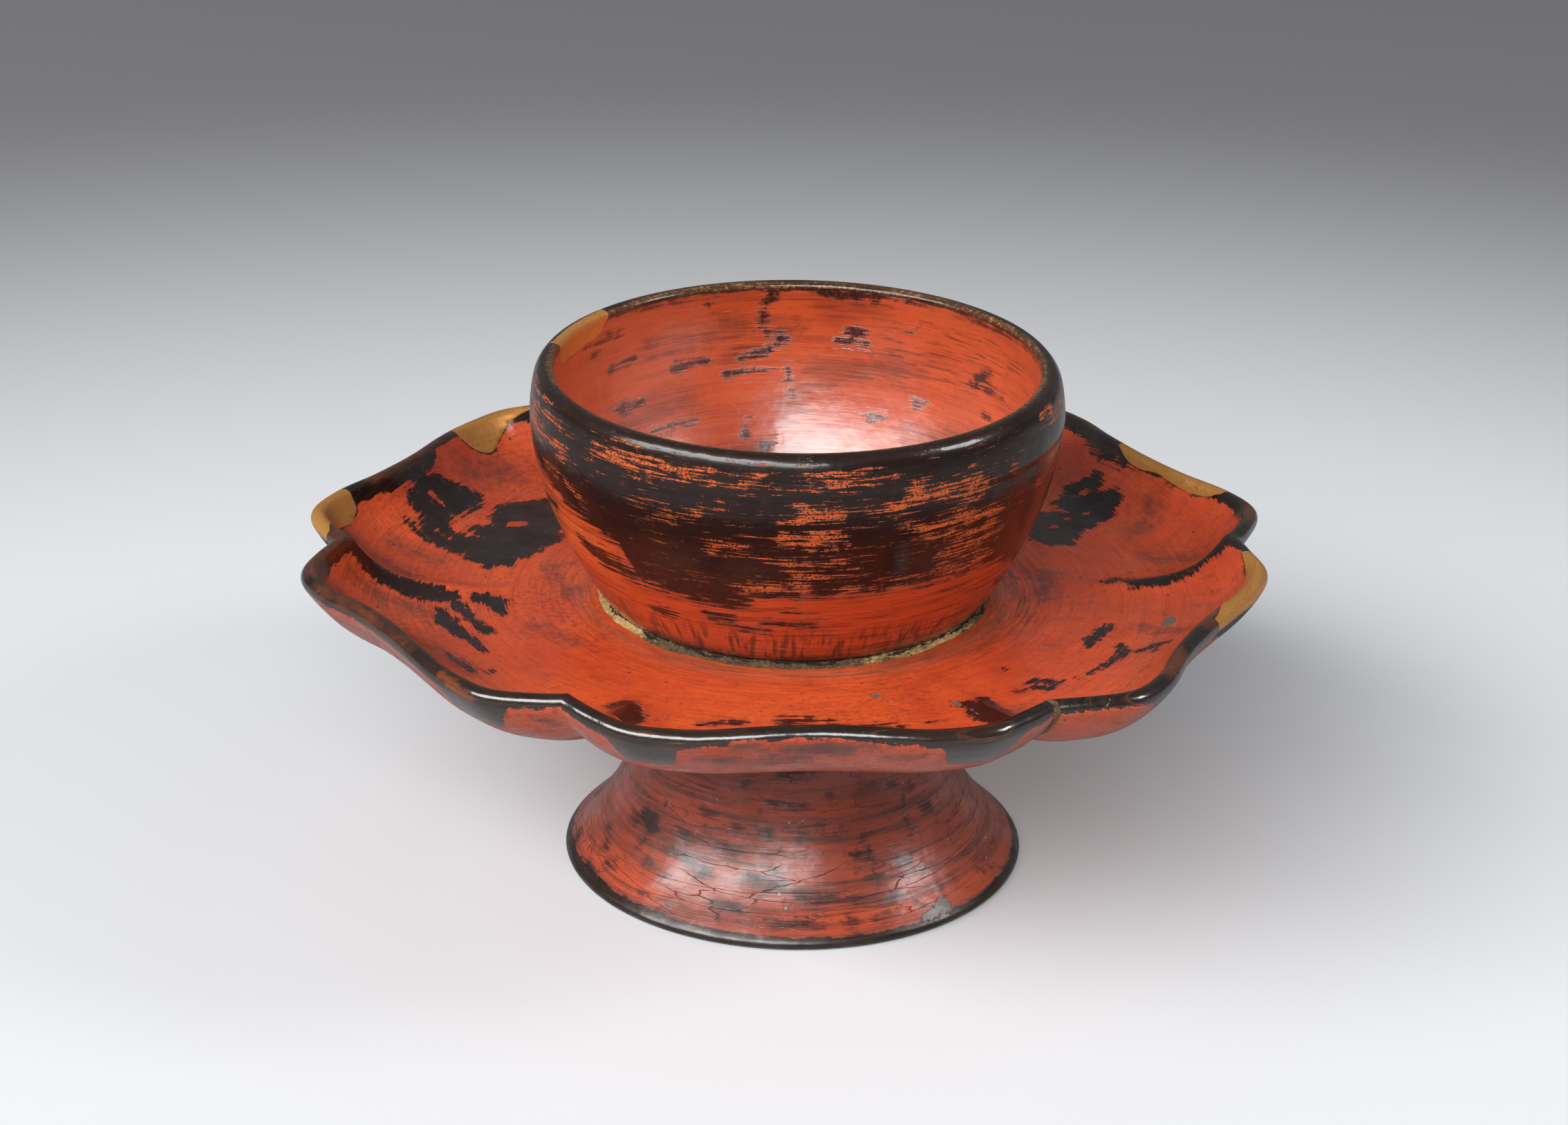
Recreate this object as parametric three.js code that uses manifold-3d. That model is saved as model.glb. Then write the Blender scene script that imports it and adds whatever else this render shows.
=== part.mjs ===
// A lacquered wooden cup stand: a turned cup on a six-petalled dished flange on a turned flared foot.
// The cup's spigot passes through the flange into a socket in the foot, and old losses are filled in gold.
// Lengths are millimetres and angles are degrees. It stands on z = 0 round the Z axis, with its front at -Y.

import * as THREE from "three";
import { mergeVertices } from "three/addons/utils/BufferGeometryUtils.js";
import Module from "manifold-3d";

const wasm = await Module();
wasm.setup();

// Foot
const footHeight = 45.4;
const footBaseRadius = 39.4;
const footWaistRadius = 24.4;
const footTopRadius = 31;
const footWall = 3.2;
const footLowerCurve = 12;
const footUpperCurve = 4;
const beadRadius = 1.6;
const beadLand = 1.2;

// Joint between the three turned pieces
const spigotRadius = 23.5;
const spigotWall = 2.7;
const socketDepth = 6;
const beddingThickness = 1.2;
const joint = 0.3;

// Cup
const cupHeight = 40.9;
const cupJointRadius = 32.1;
const cupBellyRadius = 44.7;
const cupBellyHeight = 32.6;
const cupLipRadius = 43.5;
const cupWall = 3.2;
const cupFloorThickness = 2.6;
const cupSwell = 1.8;
const lipLand = 1;

// Flange
const petals = 6;
const petalTurn = 3;
const middleReach = 75.3;
const shoulderReach = 80;
const notchReach = 75.4;
const shoulderShare = 0.7;
const floorThickness = 3.5;
const flatRadius = 38;
const rimRadius = 1.6;
const rimRise = 9.85;
const rimCurl = 7;
const ridgeLift = 2.8;
const ridgeWidth = 3.2;
const rimArc = 120;

// Putty that beds the cup
const puttyWidth = 2.3;
const puttyHeight = 1.7;

// Losses filled in the flange's rim, each from one angle to another, with depths behind the rim's crest
const rimLosses = {
  gold_fill_left: { from: 167, to: 181, depths: [2, 4, 3.4, 1.6] },
  gold_fill_back_left: { from: 126.5, to: 143, depths: [1, 1.8, 3.6, 4, 1] },
  gold_fill_back_right: { from: 18, to: 37.5, depths: [1.2, 1, 1.1, 1] },
  gold_fill_right: { from: -24.5, to: -2, depths: [0.8, 2.8, 6, 2.2, 1.2] },
  notch_putty: { from: -58.2, to: -55.8, depths: [2.4, 2.4] },
};

// Room that a loss leaves outside the rim's crest
const rimClearance = 8;

// Chip filled in the inner edge of the cup's lip
const lipLoss = { from: 143, to: 169.5, depth: 1.8, height: 4.8 };

const turnedSides = 48;
const petalSteps = 12;
const rimSteps = 4;

const floorTop = footHeight + floorThickness;
const lipTop = floorTop + cupHeight;
const socketRadius = spigotRadius + joint;
const socketFloor = footHeight - socketDepth;
const spigotEnd = socketFloor + beddingThickness;
const throatRadius = spigotRadius - spigotWall;
const radians = Math.PI / 180;

function span(count) {
  return Array.from({ length: count + 1 }, (_, i) => i / count);
}

// A closed outline of [radius, height] points turned round the Z axis.
function turned(outline) {
  const points = [...outline, outline[0]].map(([r, z]) => new THREE.Vector2(r, z));
  return new THREE.LatheGeometry(points, turnedSides).rotateX(Math.PI / 2);
}

function solidOf(geometry) {
  const bare = geometry.clone();
  bare.deleteAttribute("normal");
  bare.deleteAttribute("uv");
  const merged = mergeVertices(bare, 1e-4);
  return new wasm.Manifold(
    new wasm.Mesh({
      numProp: 3,
      vertProperties: new Float32Array(merged.attributes.position.array),
      triVerts: new Uint32Array(merged.index.array),
    }),
  );
}

function geometryOf(solid) {
  const made = solid.getMesh();
  const geometry = new THREE.BufferGeometry();
  geometry.setAttribute("position", new THREE.BufferAttribute(made.vertProperties, 3));
  geometry.setIndex(new THREE.BufferAttribute(made.triVerts, 1));
  const faceted = geometry.toNonIndexed();
  faceted.computeVertexNormals();
  return faceted;
}

// A prism over a plan outline of [x, y] points.
function prism(outline, low, high) {
  const shape = new THREE.Shape(outline.map(([x, y]) => new THREE.Vector2(x, y)));
  const geometry = new THREE.ExtrudeGeometry(shape, { depth: high - low, bevelEnabled: false });
  return solidOf(geometry.translate(0, 0, low));
}

function polar(angle, radius) {
  return [radius * Math.cos(angle * radians), radius * Math.sin(angle * radians)];
}

// Foot: a hollow flared ring with a beaded base and a socket in its top.
function footRadiusAt(z) {
  const baseFlare = footBaseRadius - footWaistRadius;
  const topFlare = footTopRadius - footWaistRadius;
  const low = baseFlare * Math.exp(-(z - beadRadius) / footLowerCurve);
  const high = topFlare * Math.exp(-(footHeight - z) / footUpperCurve);
  return footWaistRadius + low + high;
}

function footOutline() {
  const risen = span(12).map((t) => beadRadius + t * (footHeight - beadRadius));
  const outer = risen.map((z) => [footRadiusAt(z), z]);
  const bead = [
    [footBaseRadius - beadRadius - beadLand, 0],
    [footBaseRadius - beadRadius * 0.6, 0],
    [footBaseRadius - beadRadius * 0.1, beadRadius * 0.5],
  ];
  const innerHeights = span(8).map((t) => socketFloor + t * (beadRadius - socketFloor));
  const inner = innerHeights.map((z) => [Math.max(footRadiusAt(z) - footWall, throatRadius), z]);
  const socket = [
    [socketRadius, footHeight],
    [socketRadius, socketFloor],
  ];
  return [...bead, ...outer, ...socket, ...inner];
}

// Cup: a turned bowl with an open bottom, a flat land on its lip and a spigot below its joint.
function cupRadiusAt(z) {
  const bellyZ = floorTop + cupBellyHeight;
  if (z > bellyZ) {
    const share = (z - bellyZ) / (lipTop - bellyZ);
    return cupBellyRadius - (cupBellyRadius - cupLipRadius) * share ** 2;
  }
  const share = (bellyZ - z) / cupBellyHeight;
  return cupBellyRadius - (cupBellyRadius - cupJointRadius) * share ** cupSwell;
}

function cupOutline() {
  const lipMiddle = cupLipRadius - cupWall / 2;
  const lipShoulder = lipTop - cupWall / 2;
  const cupFloor = floorTop + cupFloorThickness;
  const outer = span(12).map((t) => floorTop + t * (lipShoulder - floorTop));
  const inner = span(10).map((t) => lipShoulder + t * (cupFloor - lipShoulder));
  const round = (cupWall - lipLand) / 2;
  const lip = [
    [lipMiddle + lipLand / 2 + round * 0.75, lipTop - round * 0.5],
    [lipMiddle + lipLand / 2, lipTop],
    [lipMiddle - lipLand / 2, lipTop],
    [lipMiddle - lipLand / 2 - round * 0.75, lipTop - round * 0.5],
  ];
  return [
    [throatRadius, spigotEnd],
    [spigotRadius, spigotEnd],
    [spigotRadius, floorTop],
    ...outer.map((z) => [cupRadiusAt(z), z]),
    ...lip,
    ...inner.map((z) => [cupRadiusAt(z) - cupWall, z]),
    [throatRadius, cupFloor],
  ];
}

// Flange: how far the rim's crest reaches at an angle. Petal edges run nearly straight between round
// shoulders, and from each shoulder the edge falls to the notch between two petals.
function reachAt(angle) {
  const petalAngle = 360 / petals;
  const wrapped = (((angle - petalTurn) % petalAngle) + petalAngle) % petalAngle;
  const fromMiddle = Math.abs(wrapped - petalAngle / 2) / (petalAngle / 2);
  if (fromMiddle > shoulderShare) {
    const share = (fromMiddle - shoulderShare) / (1 - shoulderShare);
    return shoulderReach - (shoulderReach - notchReach) * share;
  }
  return THREE.MathUtils.lerp(
    middleReach,
    shoulderReach,
    THREE.MathUtils.smoothstep(fromMiddle, 0, shoulderShare),
  );
}

function ridgeAt(angle) {
  const petalAngle = 360 / petals;
  const nearest = Math.round((angle - petalTurn) / petalAngle) * petalAngle + petalTurn;
  const offset = (angle - nearest) * radians * notchReach;
  return ridgeLift * Math.exp(-((offset / ridgeWidth) ** 2));
}

// One radial section: both faces follow a middle line that lies flat near the hub and curls up to the rim.
// Towards a notch the line rises along a ridge, which is highest a little way inside the rim.
function flangeSection(angle) {
  const reach = reachAt(angle);
  const ridge = ridgeAt(angle);
  const shares = [0, 0.35, 0.55, 0.7, 0.8, 0.88, 0.94, 1];
  const middle = shares.map((share) => {
    const half = THREE.MathUtils.lerp(floorThickness / 2, rimRadius, share);
    const slope = (rimRise * rimCurl * share ** (rimCurl - 1)) / (reach - flatRadius);
    const lift = rimRise * share ** rimCurl + ridge * share ** 2 * (1 - share ** 4);
    return {
      radius: flatRadius + share * (reach - flatRadius),
      height: floorTop + lift,
      half,
      lean: Math.atan(slope),
    };
  });
  const face = (side) => (m) => [
    m.radius - side * m.half * Math.sin(m.lean),
    m.height + side * m.half * Math.cos(m.lean) - floorThickness / 2,
  ];
  const crest = middle[middle.length - 1];
  const round = span(rimSteps).map((t) => {
    const turn = crest.lean + rimArc * (0.5 - t) * radians;
    return [
      crest.radius + rimRadius * Math.cos(turn),
      crest.height - floorThickness / 2 + rimRadius * Math.sin(turn),
    ];
  });
  return [
    [socketRadius, footHeight],
    [socketRadius, floorTop],
    ...middle.map(face(1)),
    ...round,
    ...middle.map(face(-1)).reverse(),
  ];
}

// Sections crowd together towards the notches, where the edge turns sharply.
function sectionAngle(i) {
  const petal = Math.floor(i / petalSteps);
  const across = Math.sin(((i % petalSteps) / petalSteps - 0.5) * Math.PI);
  return petalTurn + (360 / petals) * (petal + (1 + across) / 2);
}

function flangeGeometry() {
  const sectionCount = petals * petalSteps;
  const positions = [];
  const faces = [];
  let points = 0;
  for (let i = 0; i < sectionCount; i += 1) {
    const angle = sectionAngle(i);
    const section = flangeSection(angle);
    points = section.length;
    section.forEach(([r, z]) => positions.push(...polar(angle, r), z));
  }
  for (let i = 0; i < sectionCount; i += 1) {
    const next = (i + 1) % sectionCount;
    for (let j = 0; j < points; j += 1) {
      const k = (j + 1) % points;
      const [a, b, c, d] = [i * points + j, next * points + j, next * points + k, i * points + k];
      faces.push(a, c, b, a, d, c);
    }
  }
  const geometry = new THREE.BufferGeometry();
  geometry.setAttribute("position", new THREE.Float32BufferAttribute(positions, 3));
  geometry.setIndex(faces);
  return geometry;
}

// A rim loss in plan: its inner edge lies at the given depths behind the crest, and its outer edge clears
// the rim. The fill is the same shape drawn in by the joint.
function rimLoss({ from, to, depths }, inset) {
  const insetAngle = inset / shoulderReach / radians;
  const [start, end] = [from + insetAngle, to - insetAngle];
  const outer = span(6).map((t) => {
    const angle = THREE.MathUtils.lerp(start, end, t);
    return polar(angle, reachAt(angle) + rimClearance);
  });
  const inner = depths.map((depth, i) => {
    const angle = THREE.MathUtils.lerp(start, end, i / (depths.length - 1));
    return polar(angle, reachAt(angle) - depth + inset);
  });
  return prism([...outer, ...inner.reverse()], footHeight - joint, lipTop);
}

// The lip's chip follows the cup's inner wall at its depth, between two angles.
function lipChip({ from, to, depth, height }, inset) {
  const low = lipTop - height + inset;
  const top = lipTop + joint;
  const wall = span(5).map((t) => {
    const z = THREE.MathUtils.lerp(low, top, t);
    return [cupRadiusAt(z) - cupWall + depth - inset, z];
  });
  const sleeve = solidOf(turned([[throatRadius, low], ...wall, [throatRadius, top]]));
  const insetAngle = inset / cupLipRadius / radians;
  const far = span(6).map((t) => {
    return polar(THREE.MathUtils.lerp(from + insetAngle, to - insetAngle, t), 2 * cupLipRadius);
  });
  return sleeve.intersect(prism([[0, 0], ...far], low, top));
}

function puttyRingOutline() {
  const inner = cupRadiusAt(floorTop) + joint;
  const topInner = cupRadiusAt(floorTop + puttyHeight) + joint;
  return [
    [inner, floorTop],
    [inner + puttyWidth, floorTop],
    [inner + puttyWidth * 0.9, floorTop + puttyHeight * 0.55],
    [topInner, floorTop + puttyHeight],
  ];
}

function beddingOutline() {
  return [
    [throatRadius, socketFloor],
    [spigotRadius, socketFloor],
    [spigotRadius, spigotEnd],
    [throatRadius, spigotEnd],
  ];
}

const finishes = {
  red_lacquer: { color: 0xc8421f, roughness: 0.3, metalness: 0 },
  foot_lacquer: { color: 0x94432f, roughness: 0.35, metalness: 0 },
  black_lacquer: { color: 0x241b18, roughness: 0.25, metalness: 0 },
  gold: { color: 0xa8783a, roughness: 0.4, metalness: 0.6 },
  putty: { color: 0xc3a877, roughness: 0.9, metalness: 0 },
};

const stand = new THREE.Group();

function addPiece(name, geometry, finish) {
  const mesh = new THREE.Mesh(geometry, new THREE.MeshStandardMaterial(finishes[finish]));
  mesh.name = name;
  stand.add(mesh);
}

let flange = solidOf(flangeGeometry());
for (const [name, loss] of Object.entries(rimLosses)) {
  const fill = flange.intersect(rimLoss(loss, joint));
  addPiece(name, geometryOf(fill), name === "notch_putty" ? "putty" : "gold");
  flange = flange.subtract(rimLoss(loss, 0));
}
addPiece("flange", geometryOf(flange), "red_lacquer");

const wholeCup = solidOf(turned(cupOutline()));
addPiece("gold_fill_cup_lip", geometryOf(wholeCup.intersect(lipChip(lipLoss, joint))), "gold");
addPiece("cup", geometryOf(wholeCup.subtract(lipChip(lipLoss, 0))), "black_lacquer");

addPiece("foot", turned(footOutline()), "foot_lacquer");
addPiece("cup_putty_ring", turned(puttyRingOutline()), "putty");
addPiece("bedding_putty_ring", turned(beddingOutline()), "putty");

export default stand;
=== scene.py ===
# A lacquered wooden cup stand: a turned cup on a dished flange of six petals on a flared foot, with the red
# top lacquer worn through to black and old losses filled in gold. Lengths are metres unless a name says mm.
import math

import bpy
import numpy as np
from mathutils import Matrix, Vector, noise as fractal


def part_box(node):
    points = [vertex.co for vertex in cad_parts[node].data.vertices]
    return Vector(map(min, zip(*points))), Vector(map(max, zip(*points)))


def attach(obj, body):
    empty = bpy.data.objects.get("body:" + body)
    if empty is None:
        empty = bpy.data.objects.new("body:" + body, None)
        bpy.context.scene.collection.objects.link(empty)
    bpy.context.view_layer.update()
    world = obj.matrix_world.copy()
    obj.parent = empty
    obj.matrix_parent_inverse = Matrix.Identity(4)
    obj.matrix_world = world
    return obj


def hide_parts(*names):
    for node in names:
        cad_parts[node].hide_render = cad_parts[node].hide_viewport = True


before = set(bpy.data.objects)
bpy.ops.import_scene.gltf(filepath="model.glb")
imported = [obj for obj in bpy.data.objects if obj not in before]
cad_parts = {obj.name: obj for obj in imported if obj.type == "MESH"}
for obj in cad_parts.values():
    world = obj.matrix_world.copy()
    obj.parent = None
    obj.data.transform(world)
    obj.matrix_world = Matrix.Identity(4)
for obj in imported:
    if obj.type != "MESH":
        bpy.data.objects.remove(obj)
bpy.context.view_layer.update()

MM = 0.001

# The foot is turned from one piece of wood as a hollow flare that spreads to a beaded base. It is coated in
# dull red lacquer over black, crazed round the flare, and its top takes the cup's spigot in a socket.
foot_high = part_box("foot")[1]
bedding_low, bedding_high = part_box("bedding_putty_ring")
foot_height = foot_high.z
foot_base_radius = foot_high.x
foot_waist_radius = 24.4 * MM
foot_top_radius = 31.0 * MM
foot_wall = 3.2 * MM
foot_lower_curve = 12.0 * MM
foot_upper_curve = 4.0 * MM
foot_bead = 1.6 * MM
foot_spread = 0.4 * MM
foot_drift = 0.4 * MM
socket_radius = bedding_high.x + 0.3 * MM
socket_floor = bedding_low.z
spigot_wall = 2.7 * MM
arris = 0.3 * MM
grain_ring = 2.2 * MM
unworn_mm = -9.0


def foot_radius_at(z):
    low = (foot_base_radius - foot_waist_radius) * math.exp(-(z - foot_bead) / foot_lower_curve)
    high = (foot_top_radius - foot_waist_radius) * math.exp(-(foot_height - z) / foot_upper_curve)
    return foot_waist_radius + low + high


def foot_outline():
    bead = [
        (foot_base_radius - 2.9 * MM, 0.0),
        (foot_base_radius - 2.6 * MM, 0.0),
        (foot_base_radius - 1.1 * MM, 0.0),
        (foot_base_radius - 0.35 * MM, 0.35 * MM),
        (foot_base_radius - 0.02 * MM, 1.0 * MM),
    ]
    heights = np.linspace(foot_bead, foot_height - 0.2 * MM, 18)
    outer = [(foot_radius_at(z), z) for z in heights]
    top = [
        (foot_radius_at(foot_height) - arris, foot_height),
        (socket_radius + arris, foot_height),
        (socket_radius, foot_height - arris),
        (socket_radius, socket_floor + arris),
        (socket_radius, socket_floor),
        (socket_radius - 0.4 * MM, socket_floor),
    ]
    inner_heights = np.linspace(socket_floor, foot_bead, 12)
    throat = bedding_high.x - spigot_wall
    inner = [(max(foot_radius_at(z) - foot_wall, throat), z) for z in inner_heights]
    return bead + outer + top + inner


def deselect_all():
    for thing in bpy.context.selected_objects:
        thing.select_set(False)


def draw_outline(name, outline):
    """Draws a closed outline of (radius, height) points in the XZ plane by extruding one vertex."""
    deselect_all()
    bpy.ops.mesh.primitive_plane_add(size=MM, location=(0, 0, 0))
    piece = bpy.context.object
    piece.name = name
    bpy.ops.object.mode_set(mode="EDIT")
    bpy.ops.mesh.merge(type="CENTER")
    bpy.ops.transform.translate(value=(outline[0][0], 0, outline[0][1]))
    for (r0, z0), (r1, z1) in zip(outline, outline[1:]):
        bpy.ops.mesh.extrude_region_move(TRANSFORM_OT_translate={"value": (r1 - r0, 0, z1 - z0)})
    bpy.ops.object.mode_set(mode="OBJECT")
    count = len(piece.data.vertices)
    for vertex in piece.data.vertices:
        vertex.select = vertex.index in (0, count - 1)
    bpy.ops.object.mode_set(mode="EDIT")
    bpy.ops.mesh.edge_face_add()
    bpy.ops.mesh.select_all(action="SELECT")
    return piece


def turn_on_lathe(name, outline, steps, levels, start_turn=0.0):
    """Spins a closed outline all the way round Z."""
    piece = draw_outline(name, outline)
    if start_turn:
        bpy.ops.transform.rotate(value=-start_turn, orient_axis="Z", center_override=(0, 0, 0))
    bpy.ops.mesh.spin(steps=steps, angle=math.tau, center=(0, 0, 0), axis=(0, 0, 1))
    bpy.ops.mesh.select_all(action="SELECT")
    bpy.ops.mesh.remove_doubles(threshold=0.01 * MM)
    bpy.ops.mesh.normals_make_consistent(inside=False)
    bpy.ops.object.mode_set(mode="OBJECT")
    if levels:
        smooth = piece.modifiers.new("smooth", "SUBSURF")
        smooth.levels = levels
        smooth.render_levels = levels
        bpy.ops.object.modifier_apply(modifier=smooth.name)
    bpy.ops.object.shade_smooth()
    return piece


def points_of(piece):
    places = np.zeros(len(piece.data.vertices) * 3)
    piece.data.vertices.foreach_get("co", places)
    return places.reshape(-1, 3)


def move_points(piece, places):
    piece.data.vertices.foreach_set("co", places.ravel())
    piece.data.update()


def store(piece, name, values):
    """Keeps one number, or one vector, for each vertex."""
    kind = "FLOAT" if values.ndim == 1 else "FLOAT_VECTOR"
    layer = piece.data.attributes.new(name, kind, "POINT")
    layer.data.foreach_set("value" if values.ndim == 1 else "vector", values.astype(np.float32).ravel())


def strokes_field(places, strokes):
    """How deep each place lies inside the nearest stroke, in mm. A stroke is a list of (x, y, half width)."""
    field = np.full(len(places), unworn_mm)
    for stroke in strokes:
        knots = stroke if len(stroke) > 1 else stroke * 2
        for (x0, y0, w0), (x1, y1, w1) in zip(knots, knots[1:]):
            start = np.array((x0, y0), float)
            run = np.array((x1, y1), float) - start
            length = max(run @ run, 1e-9)
            share = np.clip((places - start) @ run / length, 0, 1)
            nearest = start + share[:, None] * run
            away = np.linalg.norm(places - nearest, axis=1)
            field = np.maximum(field, w0 + (w1 - w0) * share - away)
    return field


def round_field(angle, height_mm, strokes, radius_mm):
    """The same for strokes drawn round the axis, as (angle in degrees, height in mm, half width in mm)."""
    per_degree = math.radians(radius_mm)
    drawn = [[(a * per_degree, h, w) for a, h, w in stroke] for stroke in strokes]
    turned = [np.column_stack(((angle + turn) * per_degree, height_mm)) for turn in (-360, 0, 360)]
    return np.maximum.reduce([strokes_field(places, drawn) for places in turned])


def keep_grain(piece, along):
    """Stores each vertex's place in the grain of turned work, drawn out round the axis."""
    places = points_of(piece)
    distance = np.maximum(np.hypot(places[:, 0], places[:, 1]), 1e-6)
    ring = grain_ring / distance
    grain = (places[:, 0] * ring, places[:, 1] * ring, places[:, 2] + along * distance)
    store(piece, "grain", np.column_stack(grain))


def add_node(tree, kind, inputs=None, **settings):
    node = tree.nodes.new(kind)
    for name, value in settings.items():
        setattr(node, name, value)
    for name, value in (inputs or {}).items():
        if isinstance(value, bpy.types.NodeSocket):
            tree.links.new(value, node.inputs[name])
        else:
            node.inputs[name].default_value = value
    return node


def new_group(name, inputs, outputs):
    group = bpy.data.node_groups.new(name, "ShaderNodeTree")
    for label, kind, default in inputs:
        socket = group.interface.new_socket(label, in_out="INPUT", socket_type=kind)
        if default is not None:
            socket.default_value = default
    for label, kind in outputs:
        group.interface.new_socket(label, in_out="OUTPUT", socket_type=kind)
    return group, group.nodes.new("NodeGroupInput"), group.nodes.new("NodeGroupOutput")


def use_group(tree, group, **inputs):
    node = tree.nodes.new("ShaderNodeGroup")
    node.node_tree = group
    for name, value in inputs.items():
        if isinstance(value, bpy.types.NodeSocket):
            tree.links.new(value, node.inputs[name])
        else:
            node.inputs[name].default_value = value
    return node.outputs


def calculate(tree, operation, first, second=0.5, third=None):
    values = {0: first, 1: second}
    if third is not None:
        values[2] = third
    return add_node(tree, "ShaderNodeMath", values, operation=operation).outputs[0]


def product(tree, first, second):
    return calculate(tree, "MULTIPLY", first, second)


def clamped(tree, value):
    return add_node(tree, "ShaderNodeClamp", {"Value": value}).outputs[0]


def stretch(tree, value, low, high):
    """0 below low, 1 above high, and even between."""
    limits = {"Value": value, "From Min": low, "From Max": high}
    return add_node(tree, "ShaderNodeMapRange", limits).outputs[0]


def blend_colours(tree, share, first, second):
    node = add_node(tree, "ShaderNodeMix", {"Factor": share}, data_type="RGBA")
    for socket, value in ((node.inputs[6], first), (node.inputs[7], second)):
        if isinstance(value, bpy.types.NodeSocket):
            tree.links.new(value, socket)
        else:
            socket.default_value = (*value, 1)
    return node.outputs[2]


def vector_math(tree, operation, *vectors):
    values = dict(enumerate(vectors))
    return add_node(tree, "ShaderNodeVectorMath", values, operation=operation).outputs[0]


def lay_over(tree, under, mask, share, colour):
    """Lays a colour over another one by a share of the mask."""
    return blend_colours(tree, product(tree, mask, share), under, colour)


def noise(tree, vector, scale, detail=3.0, rough=0.55, twist=0.0):
    values = {"Vector": vector, "Scale": scale, "Detail": detail, "Roughness": rough, "Distortion": twist}
    return add_node(tree, "ShaderNodeTexNoise", values).outputs["Fac"]


def make_ragged_edge_group():
    """Breaks the edge of a worn patch: the field is the depth inside it in mm, and the mask is 1 inside."""
    inputs = [
        ("Field", "NodeSocketFloat", 0.0),
        ("Place", "NodeSocketVector", None),
        ("Grain", "NodeSocketVector", None),
        ("Blot", "NodeSocketFloat", 1.0),
        ("Fray", "NodeSocketFloat", 0.5),
        ("Soft", "NodeSocketFloat", 0.12),
    ]
    group, given, result = new_group("ragged_edge", inputs, [("Mask", "NodeSocketFloat")])
    source = given.outputs
    blots = noise(group, source["Place"], 360, 6, 0.7, 0.4)
    frays = noise(group, source["Grain"], 1700, 4, 0.7, 0.3)
    blot = product(group, calculate(group, "SUBTRACT", blots, 0.5), 6.0)
    fray = product(group, calculate(group, "SUBTRACT", frays, 0.5), 6.0)
    moved = calculate(group, "MULTIPLY_ADD", blot, source["Blot"], source["Field"])
    moved = calculate(group, "MULTIPLY_ADD", fray, source["Fray"], moved)
    edge = calculate(group, "DIVIDE", moved, source["Soft"])
    mask = clamped(group, calculate(group, "ADD", edge, 0.5))
    group.links.new(mask, result.inputs["Mask"])
    return group


def make_lacquer_skin_group():
    """The fine unevenness of lacquer, from mottle to hairline scratches, and its height in mm."""
    inputs = [("Place", "NodeSocketVector", None), ("Grain", "NodeSocketVector", None)]
    labels = ("Mottle", "Streaks", "Specks", "Pits", "Scratches", "Height")
    group, given, result = new_group("lacquer_skin", inputs, [(name, "NodeSocketFloat") for name in labels])
    place, grain = given.outputs["Place"], given.outputs["Grain"]
    mottle = stretch(group, noise(group, place, 75, 5, 0.65, 0.3), 0.3, 0.7)
    streaks = stretch(group, noise(group, grain, 1300, 5, 0.75), 0.3, 0.7)
    specks = stretch(group, noise(group, place, 1500, 4, 0.7), 0.62, 0.68)
    cells = add_node(group, "ShaderNodeTexVoronoi", {"Vector": place, "Scale": 480.0}, feature="F1")
    near = calculate(group, "LESS_THAN", cells.outputs["Distance"], 0.14)
    rare = calculate(group, "GREATER_THAN", noise(group, place, 190, 2), 0.6)
    pits = product(group, near, rare)
    drift = calculate(group, "SUBTRACT", noise(group, place, 52, 1, 0.3, 1.5), 0.5)
    line = stretch(group, calculate(group, "ABSOLUTE", drift), 0.0016, 0.0)
    broken = stretch(group, noise(group, place, 240, 3, 0.7), 0.56, 0.64)
    scratches = product(group, line, broken)
    waves = noise(group, place, 170, 2, 0.5)
    peel = noise(group, place, 1300, 2, 0.5)
    height = calculate(group, "MULTIPLY_ADD", waves, 0.22, product(group, peel, 0.012))
    height = calculate(group, "MULTIPLY_ADD", streaks, 0.012, height)
    height = calculate(group, "MULTIPLY_ADD", pits, -0.05, height)
    height = calculate(group, "MULTIPLY_ADD", scratches, -0.03, height)
    for name, value in zip(labels, (mottle, streaks, specks, pits, scratches, height)):
        group.links.new(value, result.inputs[name])
    return group


def make_crazing_group():
    """Thin wandering cracks that run mostly round the axis: a mask of the cracks."""
    inputs = [
        ("Grain", "NodeSocketVector", None),
        ("Scale", "NodeSocketFloat", 60.0),
        ("Width", "NodeSocketFloat", 0.02),
    ]
    group, given, result = new_group("crazing", inputs, [("Cracks", "NodeSocketFloat")])
    source = given.outputs
    drawn = vector_math(group, "MULTIPLY", source["Grain"], (3, 3, 1))
    wander = add_node(group, "ShaderNodeTexNoise", {"Vector": drawn, "Scale": 500.0, "Detail": 4.0})
    centred = vector_math(group, "SUBTRACT", wander.outputs["Color"], (0.5, 0.5, 0.5))
    bent = vector_math(group, "MULTIPLY", centred, (0.0016, 0.0016, 0.0016))
    cell = {"Vector": vector_math(group, "ADD", drawn, bent), "Scale": source["Scale"]}
    cells = add_node(group, "ShaderNodeTexVoronoi", cell, feature="DISTANCE_TO_EDGE")
    thin = calculate(group, "DIVIDE", cells.outputs["Distance"], source["Width"])
    line = clamped(group, calculate(group, "SUBTRACT", 1.0, thin))
    kept = stretch(group, noise(group, source["Grain"], 260, 2), 0.44, 0.6)
    cracks = product(group, line, kept)
    group.links.new(cracks, result.inputs["Cracks"])
    return group


ragged_edge = make_ragged_edge_group()
lacquer_skin = make_lacquer_skin_group()
crazing = make_crazing_group()


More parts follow.
